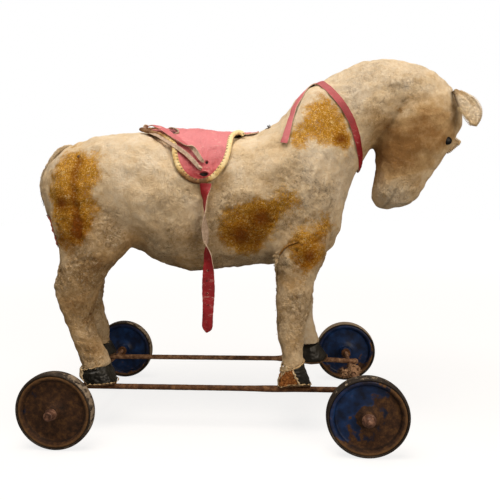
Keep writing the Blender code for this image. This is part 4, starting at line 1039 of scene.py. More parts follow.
# The tear across the right fore hoof: its height in the foot's middle, and how far it leans
TEAR_Z = 0.1000
TEAR_SLOPE = 0.42
rand = random.Random(5)
hoof_skins = {}
for which, (middle_x, side, height, rise) in FOOT_EDGES.items():
    torn = which == "right_fore"
    plush_side = which.split("_")[0] + "_plush_side"
    hoof = joined_nodes(which + "_oilcloth",
                        [which + "_hoof", which + "_leg_iron", plush_side, which + "_leg_stuffing"])
    cut_away(hoof, (0, 0, 0.128), (0, 0, -1))
    cut_away(hoof, (middle_x - FOOT_REACH, 0, 0), (1, 0, 0))
    cut_away(hoof, (middle_x + FOOT_REACH, 0, 0), (-1, 0, 0))
    cut_away(hoof, (0, side * 0.02, 0), (0, side, 0))
    voxel_skin(hoof, HOOF_VOXEL, 8)
    cut_away(hoof, (middle_x, 0, height + 0.0004), (rise, 0, -1))
    cut_away(hoof, (0, 0, FOOT_FLOOR_Z), (0, 0, 1))
    if torn:
        core = copy_of(hoof, "right_fore_wood_wool")
        cut_away(hoof, (middle_x, 0, TEAR_Z), (1.0, 0, TEAR_SLOPE))
        cut_away(core, (middle_x, 0, height - 0.0030), (rise, 0, -1))
    places, normals = read_points(hoof.data)
    flat = 1 - np.abs(normals[:, 2])
    share = np.clip((places[:, 2] - FOOT_FLOOR_Z) / (height - FOOT_FLOOR_Z), 0, 1)
    swell = (0.0008 * ruffle(places, 0.011, 2.0) + 0.0005 * ruffle(places, 0.004, 6.0)
             + 0.0010 + 0.0012 * np.sin(share * np.pi))
    write_points(hoof.data, pulled(which, places + normals * (swell * flat)[:, None]))
    hoof.data.shade_smooth()
    hoof_skins[which] = tree_of(hoof)
    finish(hoof, oilcloth)
    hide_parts(which + "_hoof")
    sole = joined_nodes(which + "_worn_sole", [which + "_hoof_sole"])
    add_modifier(sole, "BEVEL", width=0.0006, segments=2, limit_method="ANGLE")
    apply_modifiers(sole)
    write_points(sole.data, pulled(which, read_points(sole.data)[0]))
    finish(sole, sole_leather)
    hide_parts(which + "_hoof_sole")
    # The plush's raw edge, turned over above the hoof, and threads pulled out of it
    ring = foot_ring(which, 0.0012, 0.0006)
    route = [place + Vector((0, 0, 0.0010 * noise.noise(place / 0.004))) for place, _ in ring]
    hem = strands(which + "_plush_hem", [route + [route[0]]], 0.0012, taper=1.0, points=150)
    roughen(hem, (0.0005, 0.0060, 3.0))
    finish(hem, hem_cotton)
    routes = []
    for place, outward in foot_ring(which, 0.0016, 0.0010, count=90):
        if rand.random() < 0.35:
            length = rand.uniform(0.0012, 0.0032)
            sideways = Vector((-outward.y, outward.x, 0)) * rand.uniform(-0.6, 0.6)
            tip = place + (outward * 0.35 + sideways + Vector((0, 0, -1))) * length
            routes.append([place, (place + tip) / 2 + outward * length * 0.2, tip])
    finish(strands(which + "_frayed_threads", routes, 0.00035, points=4), frayed_cotton)
    # Where the oilcloth is gathered under the sole its edge is pale and broken
    low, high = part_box(which + "_hoof_sole")
    half = Vector(((high[0] - low[0]) / 2, (high[1] - low[1]) / 2, 0))
    middle = Vector(((high[0] + low[0]) / 2, (high[1] + low[1]) / 2, FOOT_FLOOR_Z + 0.0004))
    low_ring = []
    for angle in np.linspace(0, 2 * math.pi, 64, endpoint=False):
        outward = level_way(angle)
        squared = Vector((math.copysign(abs(outward.x) ** 0.85, outward.x) * half.x,
                          math.copysign(abs(outward.y) ** 0.85, outward.y) * half.y, 0))
        wave = Vector((0, 0, 0.0008 * noise.noise(Vector((angle * 3, middle_x * 40, 1)))))
        low_ring.append(middle + squared * 1.02 + wave)
    low_ring = [Vector(place) for place in pulled(which, low_ring)]
    edge = strands(which + "_gathered_edge", [low_ring + [low_ring[0]]], 0.0007, taper=1.0, points=120)
    roughen(edge, (0.0007, 0.0040, 9.0))
    finish(edge, hem_cotton if side < 0 else sole_leather)

# The heel seam of the right hind hoof has opened on a strip of its cotton lining
middle_x, side, height, _ = FOOT_EDGES["right_hind"]
strip_rows = []
for z in np.linspace(0.1070, 0.0780, 18):
    row = []
    width = 80 + 300 * (0.1070 - z) + 5 * noise.noise(Vector((z * 260, 2, 5)))
    for turn in np.linspace(0, 1, 22):
        angle = math.radians(150 + turn * width)
        outward = level_way(angle)
        origin = Vector((middle_x + 0.004, side * FOOT_Y, z))
        place = hoof_skins["right_hind"].ray_cast(origin, outward)[0] or origin + outward * 0.026
        row.append(place + outward * (0.0012 + 0.0010 * noise.noise(Vector((turn * 4, z * 150, 8)))))
    strip_rows.append(row[::-1])
heel_strip = grid_piece("right_hind_heel_strip", np.array(strip_rows))
thicken(heel_strip, 0.0012)
finish(heel_strip, frayed_cotton)

# The torn heel: packed wood wool with curled fibres standing out of it
middle_x, _, _, rise = FOOT_EDGES["right_fore"]
places, normals = read_points(core.data)
flat = 1 - np.abs(normals[:, 2])
sunk = 0.0006 + 0.0030 * soft_step(places[:, 2] - rise * (places[:, 0] - middle_x), 0.1000, 0.1090)
packed = 0.0012 * ruffle(places, 0.0060, 14.0) + 0.0006 * ruffle(places, 0.0022, 4.0) - sunk
write_points(core.data, places + normals * (packed * flat)[:, None])
write_points(core.data, pulled("right_fore", read_points(core.data)[0]))
core.data.shade_smooth()
finish(core, wood_wool)
heel_skin = tree_of(core)
routes = []
for _ in range(170):
    start = Vector((rand.uniform(0.048, 0.080), -0.13, rand.uniform(0.079, 0.109)))
    if rand.random() < 0.35:
        start = Vector((0.03, rand.uniform(-0.102, -0.062), rand.uniform(0.079, 0.104)))
    way = Vector((0, 1, 0)) if start.y < -0.12 else Vector((1, 0, 0))
    place, normal, _, _ = heel_skin.ray_cast(start, way)
    if place is None or place.x > 0.081 - TEAR_SLOPE * (place.z - 0.088):
        continue
    along = Vector((rand.gauss(0, 0.5), rand.gauss(0, 0.5), rand.gauss(0.3, 1.0)))
    along = (along - normal * along.dot(normal)).normalized() * rand.uniform(0.004, 0.009)
    lift = normal * rand.uniform(0.0008, 0.0022)
    routes.append([place - along * 0.5, place + lift, place + along * 0.5 + lift * rand.uniform(-0.5, 0.6)])
finish(strands("right_fore_wood_wool_fibres", routes, 0.00045, taper=0.5, points=5), wood_wool)
# The oilcloth's torn edge is turned out and shows its cotton, and a rag of backing hangs at the heel
torn_edge = []
for z in np.linspace(0.1115, 0.0775, 12):
    x = middle_x - TEAR_SLOPE * (z - TEAR_Z) + 0.0008 * math.sin(z * 900)
    place, _, _, _ = heel_skin.ray_cast(Vector((x, -0.13, z)), Vector((0, 1, 0)))
    if place is not None:
        torn_edge.append(place + Vector((0, -0.0022, 0)))
torn_edge = strands("right_fore_torn_edge", [torn_edge], 0.0017, taper=0.8, points=40)
roughen(torn_edge, (0.0007, 0.0040, 5.0))
finish(torn_edge, frayed_cotton)

rag_rows = []
for i, z in enumerate(np.linspace(0.1160, 0.0815, 18)):
    row = []
    last = math.radians(240 - 50 * min(1.0, max(0, i - 3) / 9))
    for j, angle in enumerate(np.linspace(math.radians(150), last, 22)):
        outward = level_way(angle)
        place, _, _, _ = smooth_skin.ray_cast(Vector((middle_x, -ROD_Y, max(z, 0.1085))), outward)
        hang = soft_step(0.1120 - z, 0, 0.027)
        edge_wave = 0.0030 * noise.noise(Vector((j * 0.45, i * 0.25, 3)))
        place = place + outward * (0.0006 + 0.0054 * hang + 0.5 * edge_wave * hang)
        place.z = z + (rise * (place.x - middle_x) + edge_wave * 1.2) * (1 - 0.4 * hang)
        row.append(place)
    rag_rows.append(row[::-1])
rag = grid_piece("right_fore_heel_rag", np.array(rag_rows))
thicken(rag, 0.0014, [frayed_cotton] * 3)
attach(rag, "horse")

# Eyes
# Domed buttons of black glass, wired to the sides of the head.
def eye_material():
    """Black glass: even and deep, its gloss dulled by handling."""
    made, tree, shader, _ = new_surface("black_eye_glass")
    wire(tree, shader, Base_Color=linear("#050506"), Roughness=0.35, Specular_IOR_Level=0.22)
    return made


def button(name, place, radius, scale, turn, segments, rings):
    """A squashed ball."""
    bpy.ops.object.select_all(action="DESELECT")
    bpy.ops.mesh.primitive_uv_sphere_add(segments=segments, ring_count=rings, radius=radius, location=place)
    piece = bpy.context.object
    piece.name = name
    piece.scale = scale
    piece.rotation_euler = turn
    bpy.ops.object.transform_apply(location=True, rotation=True, scale=True)
    piece.data.shade_smooth()
    return piece


eye_glass = eye_material()
for side_name, side in SIDES.items():
    low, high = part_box(side_name + "_eye")
    middle = [(a + b) / 2 for a, b in zip(low, high)]
    eye = button(side_name + "_glass_eye", (middle[0] - 0.0030, *middle[1:]), 0.0060, (1.40, 0.60, 1.12),
                 (0, math.radians(18), 0), 32, 16)
    finish(eye, eye_glass)
    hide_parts(side_name + "_eye")


# Ears
# Two layers of plush turned and oversewn at the edge, gathered at the root and sewn to the poll. They droop
# forwards, and the edge shows its stitches.
EAR_COLUMNS = 25
EAR_ROWS = 41
EAR_FOLD = 0.66
# Rows from root to tip: the rear and the front edge as x and z, and their y
EAR_SHAPES = {
    "right": [((0.3255, 0.5375), (0.3290, 0.5410), -0.034), ((0.3262, 0.5300), (0.3380, 0.5358), -0.042),
              ((0.3272, 0.5206), (0.3490, 0.5272), -0.050), ((0.3287, 0.5131), (0.3564, 0.5198), -0.054),
              ((0.3314, 0.5056), (0.3615, 0.5085), -0.058), ((0.3355, 0.4973), (0.3612, 0.4966), -0.062),
              ((0.3405, 0.4888), (0.3571, 0.4870), -0.065), ((0.3450, 0.4826), (0.3520, 0.4813), -0.066)],
    "left": [((0.3235, 0.5300), (0.3275, 0.5380), 0.034), ((0.3235, 0.5150), (0.3360, 0.5270), 0.042),
             ((0.3250, 0.4960), (0.3450, 0.5090), 0.050), ((0.3290, 0.4760), (0.3530, 0.4900), 0.056),
             ((0.3370, 0.4600), (0.3580, 0.4795), 0.060), ((0.3480, 0.4512), (0.3632, 0.4742), 0.062),
             ((0.3582, 0.4580), (0.3675, 0.4714), 0.064), ((0.3662, 0.4646), (0.3702, 0.4690), 0.065)]}

ear_binding = grained_material("yellowed_ear_edge", "#B08F5C", "#EBD8AE", 0.0022, 0.92)
for side_name, side in SIDES.items():
    rows = smooth_route([(*back, *front, y) for back, front, y in EAR_SHAPES[side_name]], EAR_ROWS)
    outer = []
    for i, (back_x, back_z, front_x, front_z, y) in enumerate(rows):
        t = i / (EAR_ROWS - 1)
        row = []
        for j in range(EAR_COLUMNS):
            u = j / (EAR_COLUMNS - 1)
            bulge = 0.0060 * math.sin(math.pi * u) ** 0.7 * (1 - 0.5 * t)
            fold_length = math.sin(math.pi * min(1.0, t * 1.1)) ** 2
            groove = 0.0032 * math.exp(-((u - EAR_FOLD) / 0.10) ** 2) * fold_length
            ends = 0.0024 * math.exp(-((u - 0.93) / 0.06) ** 2)
            stands = bulge - groove + ends + 0.0008 * noise.noise(Vector((u * 6, t * 9, side * 3)))
            row.append((back_x + (front_x - back_x) * u, y + side * stands, back_z + (front_z - back_z) * u))
        outer.append(row if side > 0 else row[::-1])
    ear = grid_piece(side_name + "_plush_ear", np.array(outer))
    thicken(ear, 0.0042, [plush] * 3, edge=0.0014, softening=1)
    places, normals = read_points(ear.data)
    fluff = 0.0007 if side < 0 else 0.0003
    push = fluff * (ruffle(places, 0.0042, 5.0) + 0.6 * ruffle(places, 0.0020, 2.0))
    write_points(ear.data, places + normals * push[:, None])
    # Darker at the top by the root and along the groove and the rear edge, and darkest in the crack at the
    # root where the ear meets the head: painted shade. The left ear is darker overall.
    hidden = soft_step(places[:, 2], 0.526, 0.534) * 0.25
    ear_view = places[:, [0, 2]]
    groove = [(back_x + (front_x - back_x) * EAR_FOLD, back_z + (front_z - back_z) * EAR_FOLD)
              for back_x, back_z, front_x, front_z, _ in rows[4:-5]]
    rear_edge = [(back_x, back_z) for back_x, back_z, _, _, _ in rows]
    wear_and_shade = 0.8 * ridge(ear_view, groove, 0.0011)
    wear_and_shade += 0.7 * ridge(ear_view, rear_edge, 0.0022) * soft_step(-places[:, 2], -0.535, -0.500)
    soiled_and_shaded = hidden + 0.04 + 0.12 * ruffle(places, 0.012, 4.0) + (0.18 if side > 0 else 0)
    paint(ear.data, "soil_and_shade", np.clip(soiled_and_shaded, 0, 1))
    paint(ear.data, "crease_shade", np.clip(wear_and_shade, 0, 1))
    root = [(x, z) for x, z in rear_edge if z > 0.5120]
    paint(ear.data, "seam_and_shade", 0.9 * ridge(ear_view, root, 0.0028))
    paint(ear.data, "matted", np.full(len(places), 0.35 if side < 0 else 0.1))
    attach(ear, "horse")
    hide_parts(side_name + "_ear")
    # Oversewing stitches over the front edge and the tip
    edge = [Vector(outer[i][-1 if side > 0 else 0]) for i in range(4, EAR_ROWS)]
    edge += [Vector(p) for p in (outer[-1] if side < 0 else outer[-1][::-1])]
    edge += [Vector(outer[i][0 if side > 0 else -1]) for i in range(EAR_ROWS - 2, 20, -1)]
    edge = [Vector(p) for p in smooth_route(edge, 46)]
    through = Vector((0, side, 0))
    routes = []
    for before, place, after in zip(edge, edge[1:], edge[2:]):
        outward = (after - before).normalized().cross(through) * -side
        if outward.dot(place - Vector(outer[EAR_ROWS // 2][EAR_COLUMNS // 2])) < 0:
            outward.negate()
        outward.normalize()
        routes.append([place - outward * 0.0024 + through * 0.0016,
                       place + outward * 0.0012 + through * 0.0010,
                       place + outward * 0.0014 - through * 0.0024,
                       place - outward * 0.0024 - through * 0.0052])
    finish(strands(side_name + "_ear_stitches", routes, 0.00075, taper=0.8, points=8), ear_binding)


# Tail
# All that is left is the flap that held the hair: plush sewn to the rump by its top edge, with dark hairs
# at its end. It swings on that seam.
TAIL_COLUMNS = 13
TAIL_ROWS = 45
# Down the flap: x, z and half width; the rump is just in front of it
TAIL_STATIONS = [(-0.3110, 0.4722, 0.0120), (-0.3180, 0.4708, 0.0122), (-0.3285, 0.4668, 0.0125),
                 (-0.3368, 0.4604, 0.0124), (-0.3466, 0.4490, 0.0120), (-0.3558, 0.4354, 0.0116),
                 (-0.3634, 0.4217, 0.0110), (-0.3678, 0.4058, 0.0102), (-0.3682, 0.3900, 0.0090),
                 (-0.3660, 0.3765, 0.0060)]


def unit(vectors):
    return vectors / np.linalg.norm(vectors, axis=1)[:, None]


rows = smooth_route(TAIL_STATIONS, TAIL_ROWS)
slopes = unit(np.gradient(rows[:, :2], axis=0))
outer = []
for (x, z, half), (slope_x, slope_z) in zip(rows, slopes):
    row = []
    for u in np.linspace(-1, 1, TAIL_COLUMNS):
        crown = 0.0016 * (1 - u * u)
        row.append((x + slope_z * crown, u * half, z - slope_x * crown))
    outer.append(row)
tail = grid_piece("tail_flap", np.array(outer))
thicken(tail, 0.0058, [plush] * 3, edge=0.0018, softening=1)
places = roughen(tail, (0.0006, 0.006, 5.0), (0.0004, 0.0022, 2.0))
paint(tail.data, "soil_and_shade", np.clip(0.16 * soft_step(-places[:, 2], -0.420, -0.375), 0, 1))
paint(tail.data, "matted", np.full(len(places), 0.1))
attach(tail, "tail")
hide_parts("tail")


def hair_material(name, dark, light):
    """Horsehair: coarse, greasy with age, and lighter where dust holds to it."""
    made, tree, shader, place = new_surface(name)
    colour = ramp(tree, grain(tree, place, 260, 3), (0.35, dark), (0.65, light))
    wire(tree, shader, Base_Color=colour, Roughness=0.55)
    return made


dark_hair = hair_material("dark_horsehair", "#2A221C", "#7A6C5C")
routes = []
for _ in range(34):
    y = rand.uniform(-0.0075, 0.0075)
    low = rand.random()
    start = Vector((-0.3674 + 0.0030 * low, y, 0.402 - 0.026 * low))
    length = rand.uniform(0.006, 0.015)
    lean = rand.uniform(-0.40, 0.10)
    middle = start + Vector((lean * length * 0.3, rand.uniform(-0.002, 0.002), -length * 0.5))
    tip = start + Vector((lean * length, rand.uniform(-0.004, 0.004), -length))
    routes.append([start, middle, tip])
tail_hair = strands("tail_hairs", routes, 0.00028, taper=0.2, points=6)
finish(tail_hair, dark_hair, body="tail")

# Saddle
# One piece of thin sheepskin dyed red, laid over the back and cut to a rounded flap on each side. It is paler
# on top, partly faded and partly painted light, creased, and scuffed pale, and its two strap slots and the
# hole behind the seat have stretched.
BARREL_Z = 0.3710
BARREL_HALF_HEIGHT = 0.1220
BARREL_HALF_WIDTH = 0.1070
BARREL_TURN = 0.1146
FLAP_X = -0.0665
FLAP_HALF_WIDTH = 0.0474
FLAP_TOP_S = 0.0850
FLAP_BOTTOM_S = 0.1551
FLAP_SQUARENESS = 2.1
LEATHER_INSET = 0.0025
LEATHER_THICKNESS = 0.0016
LEATHER_TOP = 0.0030
# Along the seat: x and the height of its top
SEAT_TOP = [(-0.1300, 0.4946), (-0.0980, 0.4936), (-0.0810, 0.4930), (-0.0635, 0.4911), (-0.0470, 0.4876),
            (-0.0290, 0.4862)]
SADDLE_ROWS = 201
SADDLE_COLUMNS = 75
# Edges of the leather above the flaps: distance from the spine, back x, front x
SADDLE_EDGES = [(0.0000, -0.1530, 0.0180), (0.0120, -0.1580, 0.0176), (0.0220, -0.1650, 0.0150),
                (0.0300, -0.1700, 0.0100), (0.0380, -0.1710, 0.0030), (0.0460, -0.1640, -0.0070),
                (0.0520, -0.1500, -0.0150), (0.0600, -0.1350, -0.0195), (0.0700, -0.1245, -0.0212),
                (0.0850, -0.1114, -0.0216)]
# Holes in the right flap and behind the seat: x, s, half length, half width, depth, turn
SEAT_HOLE = (-0.1225, 0.0420, 0.0160, 0.0062, 0.0060, 0.87)
SADDLE_HOLES = [(-0.0572, 0.1212, 0.0028, 0.0028, 0.0030, 0.0),
                (-0.0608, 0.1396, 0.0062, 0.0028, 0.0030, 0.0), SEAT_HOLE]


def hole_reach(x, s, hole):
    """How far a point is from a hole's middle, as a share of the way to its edge."""
    hole_x, hole_s, long, wide, _, turned = hole
    along = (x - hole_x) * math.cos(turned) + (s - hole_s) * math.sin(turned)
    across = (s - hole_s) * math.cos(turned) - (x - hole_x) * math.sin(turned)
    return np.hypot(along / long, across / wide)


def on_barrel(x, s, lift):
    """A place at x, and s round the barrel from the spine to the right, with the way outwards there."""
    angle = s / BARREL_TURN
    way = Vector((0, -BARREL_HALF_WIDTH * math.sin(angle), BARREL_HALF_HEIGHT * math.cos(angle))).normalized()
    place, _, _, _ = smooth_skin.ray_cast(Vector((x, 0, BARREL_Z)), way)
    outward = Vector((0, -math.sin(angle) / BARREL_HALF_WIDTH,
                      math.cos(angle) / BARREL_HALF_HEIGHT)).normalized()
    return place + outward * lift, outward


edge_table = smooth_route(SADDLE_EDGES, 120)


def leather_edges(s):
    """Back and front x of the leather at s from the spine."""
    s = abs(s)
    if s <= FLAP_TOP_S:
        return [np.interp(s, edge_table[:, 0], edge_table[:, column]) for column in (1, 2)]
    share = min((s - FLAP_TOP_S) / (FLAP_BOTTOM_S - FLAP_TOP_S - LEATHER_INSET), 0.9995)
    half = (FLAP_HALF_WIDTH - LEATHER_INSET) * (1 - share ** FLAP_SQUARENESS) ** (1 / FLAP_SQUARENESS)
    return FLAP_X - half, FLAP_X + half


def leather_place(x, s, lift=0.0):
    """A place on the good side of the saddle's leather, or lifted off it."""
    place, outward = on_barrel(x, s, LEATHER_TOP + lift)
    reach = soft_step(x, -0.150, -0.125) * (1 - soft_step(x, -0.030, -0.006))
    flat = (1 - soft_step(abs(s), 0.016, 0.048)) * reach
    seat_z = np.interp(x, [at for at, _ in SEAT_TOP], [top for _, top in SEAT_TOP])
    place.z += max(0.0, seat_z + lift - place.z) * flat
    tip = math.exp(-((x + 0.168) / 0.016) ** 2 - ((abs(s) - 0.034) / 0.016) ** 2)
    place += outward * 0.0030 * tip
    return place, outward


saddle_rows = []
saddle_s = []
for row in range(SADDLE_ROWS):
    s = (FLAP_BOTTOM_S - LEATHER_INSET) * math.sin(math.pi / 2 * (2 * row / (SADDLE_ROWS - 1) - 1))
    back, front = leather_edges(s)
    places = []
    for column in range(SADDLE_COLUMNS):
        x = back + (front - back) * column / (SADDLE_COLUMNS - 1)
        place, outward = leather_place(x, s)
        for hole in SADDLE_HOLES:
            away = hole_reach(x, s, hole)
            place -= outward * hole[4] * math.exp(-(away / 0.95) ** 6)
            place += outward * 0.0007 * math.exp(-((away - 1.45) / 0.30) ** 2)
        places.append(place)
        saddle_s.append((x, s))
    saddle_rows.append(places)
saddle_places = np.array(saddle_rows)
saddle = grid_piece("red_leather_saddle", saddle_places[::-1])
places, normals = read_points(saddle.data)
creases = 0.0009 * ruffle(places, 0.020, 2.0) + 0.0006 * ruffle(places * np.array([1.6, 1, 0.6]), 0.0070, 9.0)
write_points(saddle.data, places + normals * creases[:, None])
saddle_s = np.array(saddle_s).reshape(SADDLE_ROWS, SADDLE_COLUMNS, 2)[::-1].reshape(-1, 2)
# The holes are painted dark: painted shade inside them.
hole_shade = np.zeros(len(saddle_s))
for hole in SADDLE_HOLES:
    reach = hole_reach(saddle_s[:, 0], saddle_s[:, 1], hole)
    hole_shade = np.maximum(hole_shade, 1 - soft_step(reach, 0.80, 1.10))
paint(saddle.data, "hole", hole_shade)


def red_leather_material(name, deep, bright, top_paling, scuffs, paling_from, paling_to):
    """Dyed sheepskin: a fine pebbled grain under a thin finish that fades, cracks and rubs off pale. It is
    paler towards the top, partly faded and partly painted light from above, and its holes are painted dark as
    painted shade.
    """
    made, tree, shader, place = new_surface(name)
    height = node(tree, "SeparateXYZ", {0: place}).outputs["Z"]
    broad = grain(tree, place, 34, 5, 0.6)
    dyed = ramp(tree, broad, (0.34, deep), (0.62, bright))
    # Paler towards the top by height: partly faded leather, partly painted light from above.
    paling_share = remap(tree, maths(tree, "MULTIPLY_ADD", broad, 0.06, height), paling_from, paling_to, 0.0, top_paling,
                     interpolation_type="SMOOTHSTEP")
    # Scuffs: short pale streaks about 1 mm wide, where the finish is gone
    stretched = node(tree, "Mapping", {"Vector": place, "Rotation": (0.0, 0.5, 0.0),
                                       "Scale": (0.45, 1.0, 1.5)})
    rubbed = grain(tree, stretched.outputs[0], 180, 6, 0.75)
    patchy = maths(tree, "MULTIPLY_ADD", broad, 0.5, rubbed)
    paled = mix(tree, paling_share, dyed, "#E08890")
    colour = mix(tree, remap(tree, patchy, 0.84, 0.96, 0.0, scuffs), paled, "#EBC9C0")
    pebbles = cells(tree, place, 620.0, "SMOOTH_F1")
    # Painted shade darkens the holes
    wire(tree, shader, Base_Color=mix(tree, attribute(tree, "hole"), colour, "#0C0807"),
         Specular_IOR_Level=0.45, Roughness=remap(tree, patchy, 0.55, 0.95, 0.34, 0.75),
         Normal=bump(tree, maths(tree, "MULTIPLY_ADD", rubbed, 2.2, pebbles), 0.6, 0.0008))
    return made


saddle_red = red_leather_material("faded_red_sheepskin", "#98262E", "#C4444A", 0.92, 0.60, 0.425, 0.505)
strap_red = red_leather_material("red_strap_leather", "#7A0812", "#A41824", 0.36, 0.50, 0.490, 0.590)
faded_red = red_leather_material("faded_strap_leather", "#921C28", "#BE3642", 0.62, 0.55, 0.430, 0.530)
worn_red = red_leather_material("worn_strap_leather", "#942430", "#BC3C46", 0.60, 0.60, 0.440, 0.520)
suede = grained_material("grey_brown_suede_reverse", "#9A8472", "#CCB6A2", 0.0040, 0.95)
# A darker copy of the suede for the rein's reverse, which lies in shade: painted shade.
shaded_suede = grained_material("shaded_suede_reverse", "#2A1C14", "#5E4A3C", 0.0040, 0.95)
cut_edge = grained_material("pale_cut_leather_edge", "#B79A84", "#E2CDB8", 0.0030, 0.90)
thicken(saddle, LEATHER_THICKNESS, (saddle_red, suede, cut_edge))
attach(saddle, "horse")
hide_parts("saddle_leather")


# Saddle binding
# Cream leather rolled over the saddle's edge and laced on, now hard and cracked. The lacing holes are
# painted as dark dots: painted shade inside them.
BINDING_HALF_WIDTH = 0.0044
BINDING_HALF_HEIGHT = 0.0032
BINDING_SIDES = 18
LACING_STEP = 0.0062


def binding_material():
    """Cream kid leather: chalky and yellowed, brown where hands and the horse have soiled it and where
    painted shade lies, with its lacing holes painted dark as painted shade.
    """
    made, tree, shader, place = new_surface("yellowed_kid_binding")
    cracks = grain(tree, place, 240, 6, 0.7)
    dirt_and_shade = maths(tree, "MULTIPLY_ADD", cracks, 0.9, attribute(tree, "soil_and_shade"))
    colour = ramp(tree, dirt_and_shade, (0.34, "#F6E2AE"), (0.52, "#DEC07E"), (0.78, "#A67C48"), (1.0, "#6E4A28"))
    wire(tree, shader, Base_Color=mix(tree, attribute(tree, "hole"), colour, "#20140C"), Roughness=0.72,
         Normal=bump(tree, cracks, 0.6, 0.0008))
    return made


kid = binding_material()


def strap_ways(route, facings):
    """The ways that a strap's good side faces, square to its route, and the ways across it."""
    along = unit(np.gradient(route, axis=0))
    facings = unit(facings - along * (facings * along).sum(axis=1)[:, None])
    return facings, np.cross(along, facings)


def roll(name, route, facings, half_width, half_height, holes=True):
    """A rolled binding along a route, flatter than it is wide, pinched at each lacing hole."""
    route = np.array(route, float)
    facings, across = strap_ways(route, np.array(facings, float))
    run = run_lengths(route)
    rows = []
    marks = []
    for i, place in enumerate(route):
        phase = (run[i] / LACING_STEP) % 1 - 0.5
        pinch = math.exp(-(phase / 0.16) ** 2)
        close = min(i, len(route) - 1 - i)
        end = math.sin(min(1.0, (close + 0.35) / 5) * math.pi / 2)
        row = []
        for j in range(BINDING_SIDES + 1):
            angle = 2 * math.pi * j / BINDING_SIDES
            wave = noise.noise(Vector((run[i] / 0.005, math.cos(angle), math.sin(angle))))
            wobble = 1 + 0.10 * wave - 0.10 * pinch
            off = across[i] * math.cos(angle) * half_width + facings[i] * math.sin(angle) * half_height
            row.append(place + off * wobble * end)
            # Each lacing hole is painted dark: painted shade inside it.
            near_hole = math.exp(-((angle - 0.80) / 0.42) ** 2) * math.exp(-(phase / 0.13) ** 2)
            marks.append(min(1.0, 1.6 * near_hole) if holes else 0.0)
        rows.append(row)
    piece = grid_piece(name, np.array(rows))
    paint(piece.data, "hole", np.array(marks))
    select_only(piece)
    bpy.ops.object.mode_set(mode="EDIT")
    bpy.ops.mesh.select_all(action="SELECT")
    bpy.ops.mesh.remove_doubles(threshold=0.00002)
    bpy.ops.mesh.fill_holes(sides=BINDING_SIDES + 2)
    bpy.ops.mesh.normals_make_consistent(inside=False)
    bpy.ops.object.mode_set(mode="OBJECT")
    return piece


def flap_edge(turn, inset):
    """The flap's U, from its front top (0) round the bottom to its back top (pi), as x and s."""
    c, s = math.cos(turn), math.sin(turn)
    c, s = [math.copysign(abs(v) ** (2 / FLAP_SQUARENESS), v) for v in (c, s)]
    return (FLAP_X + (FLAP_HALF_WIDTH - inset) * c, FLAP_TOP_S + (FLAP_BOTTOM_S - FLAP_TOP_S - inset) * s)


# From the curled front end over the spine's near side, round the flap and up to the spine behind: x and s
FRONT_RUN = [(-0.0060, 0.0570, -0.0005), (-0.0058, 0.0525, 0.0015), (-0.0090, 0.0495, 0.0032),
             (-0.0145, 0.0505, 0.0032), (-0.0195, 0.0560, 0.0022), (-0.0224, 0.0640, 0.0012),
             (-0.0234, 0.0730, 0.0005), (-0.0236, 0.0800, 0.0)]
BACK_RUN = [(-0.1115, 0.0870, 0.0), (-0.1160, 0.0790, 0.0), (-0.1230, 0.0700, 0.0), (-0.1320, 0.0620, 0.0),
            (-0.1440, 0.0550, 0.0005), (-0.1580, 0.0500, 0.0015), (-0.1700, 0.0450, 0.0030),
            (-0.1735, 0.0370, 0.0035), (-0.1700, 0.0250, 0.0025), (-0.1620, 0.0120, 0.0015),
            (-0.1570, 0.0000, 0.0015)]
for side_name, side in SIDES.items():
    plan = list(FRONT_RUN)
    for i in range(1, 24):
        x, s = flap_edge(math.pi * i / 24, BINDING_HALF_WIDTH)
        plan.append((x, s, 0.0))
    plan += BACK_RUN
    plan = smooth_route(plan, 330)
    route, facings = [], []
    for x, s, lift in plan:
        place, outward = on_barrel(x, -side * s, 0.0034 + lift)
        route.append(place)
        facings.append(outward)
    binding = roll(side_name + "_rolled_binding", route, facings, BINDING_HALF_WIDTH, BINDING_HALF_HEIGHT)
    places, _ = read_points(binding.data)
    # Darker low round the flap, partly soil and partly painted shade under the roll; darker at the back and
    # lighter at the front.
    soiled_and_shaded = 0.55 * soft_step(-places[:, 2], -0.428, -0.404) * soft_step(-places[:, 0], 0.040, 0.065)
    soiled_and_shaded += 0.55 * soft_step(-places[:, 0], 0.122, 0.140) - 0.12 * soft_step(places[:, 0], -0.045, -0.020)
    soiled_and_shaded += 0.12 * ruffle(places, 0.010, 4.0)
    paint(binding.data, "soil_and_shade", soiled_and_shaded)
    finish(binding, kid)
    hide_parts(side_name + "_saddle_binding")

# The hole behind the seat has a curled, pale lip on the side away from the strap
hole_x, hole_s, _, _, _, turned = SEAT_HOLE
lip = []
facings = []
for angle in np.linspace(-2.9, 0.5, 40):
    along, across = 0.0172 * math.cos(angle), 0.0080 * math.sin(angle)
    place, outward = leather_place(hole_x + along * math.cos(turned) - across * math.sin(turned),
                                   hole_s + along * math.sin(turned) + across * math.cos(turned), 0.0010)
    lip.append(place)
    facings.append(outward)
lip = roll("seat_hole_lip", lip, facings, 0.0014, 0.0020, holes=False)
finish(lip, suede)

# Stirrup strap
# A thin strap through the two slots of the right flap. Its loop has slipped back over the cantle: red on
# the upper run, and the grey-brown reverse on the lower one.
STRAP_THICKNESS = 0.0015
STRAP_COLUMNS = 9
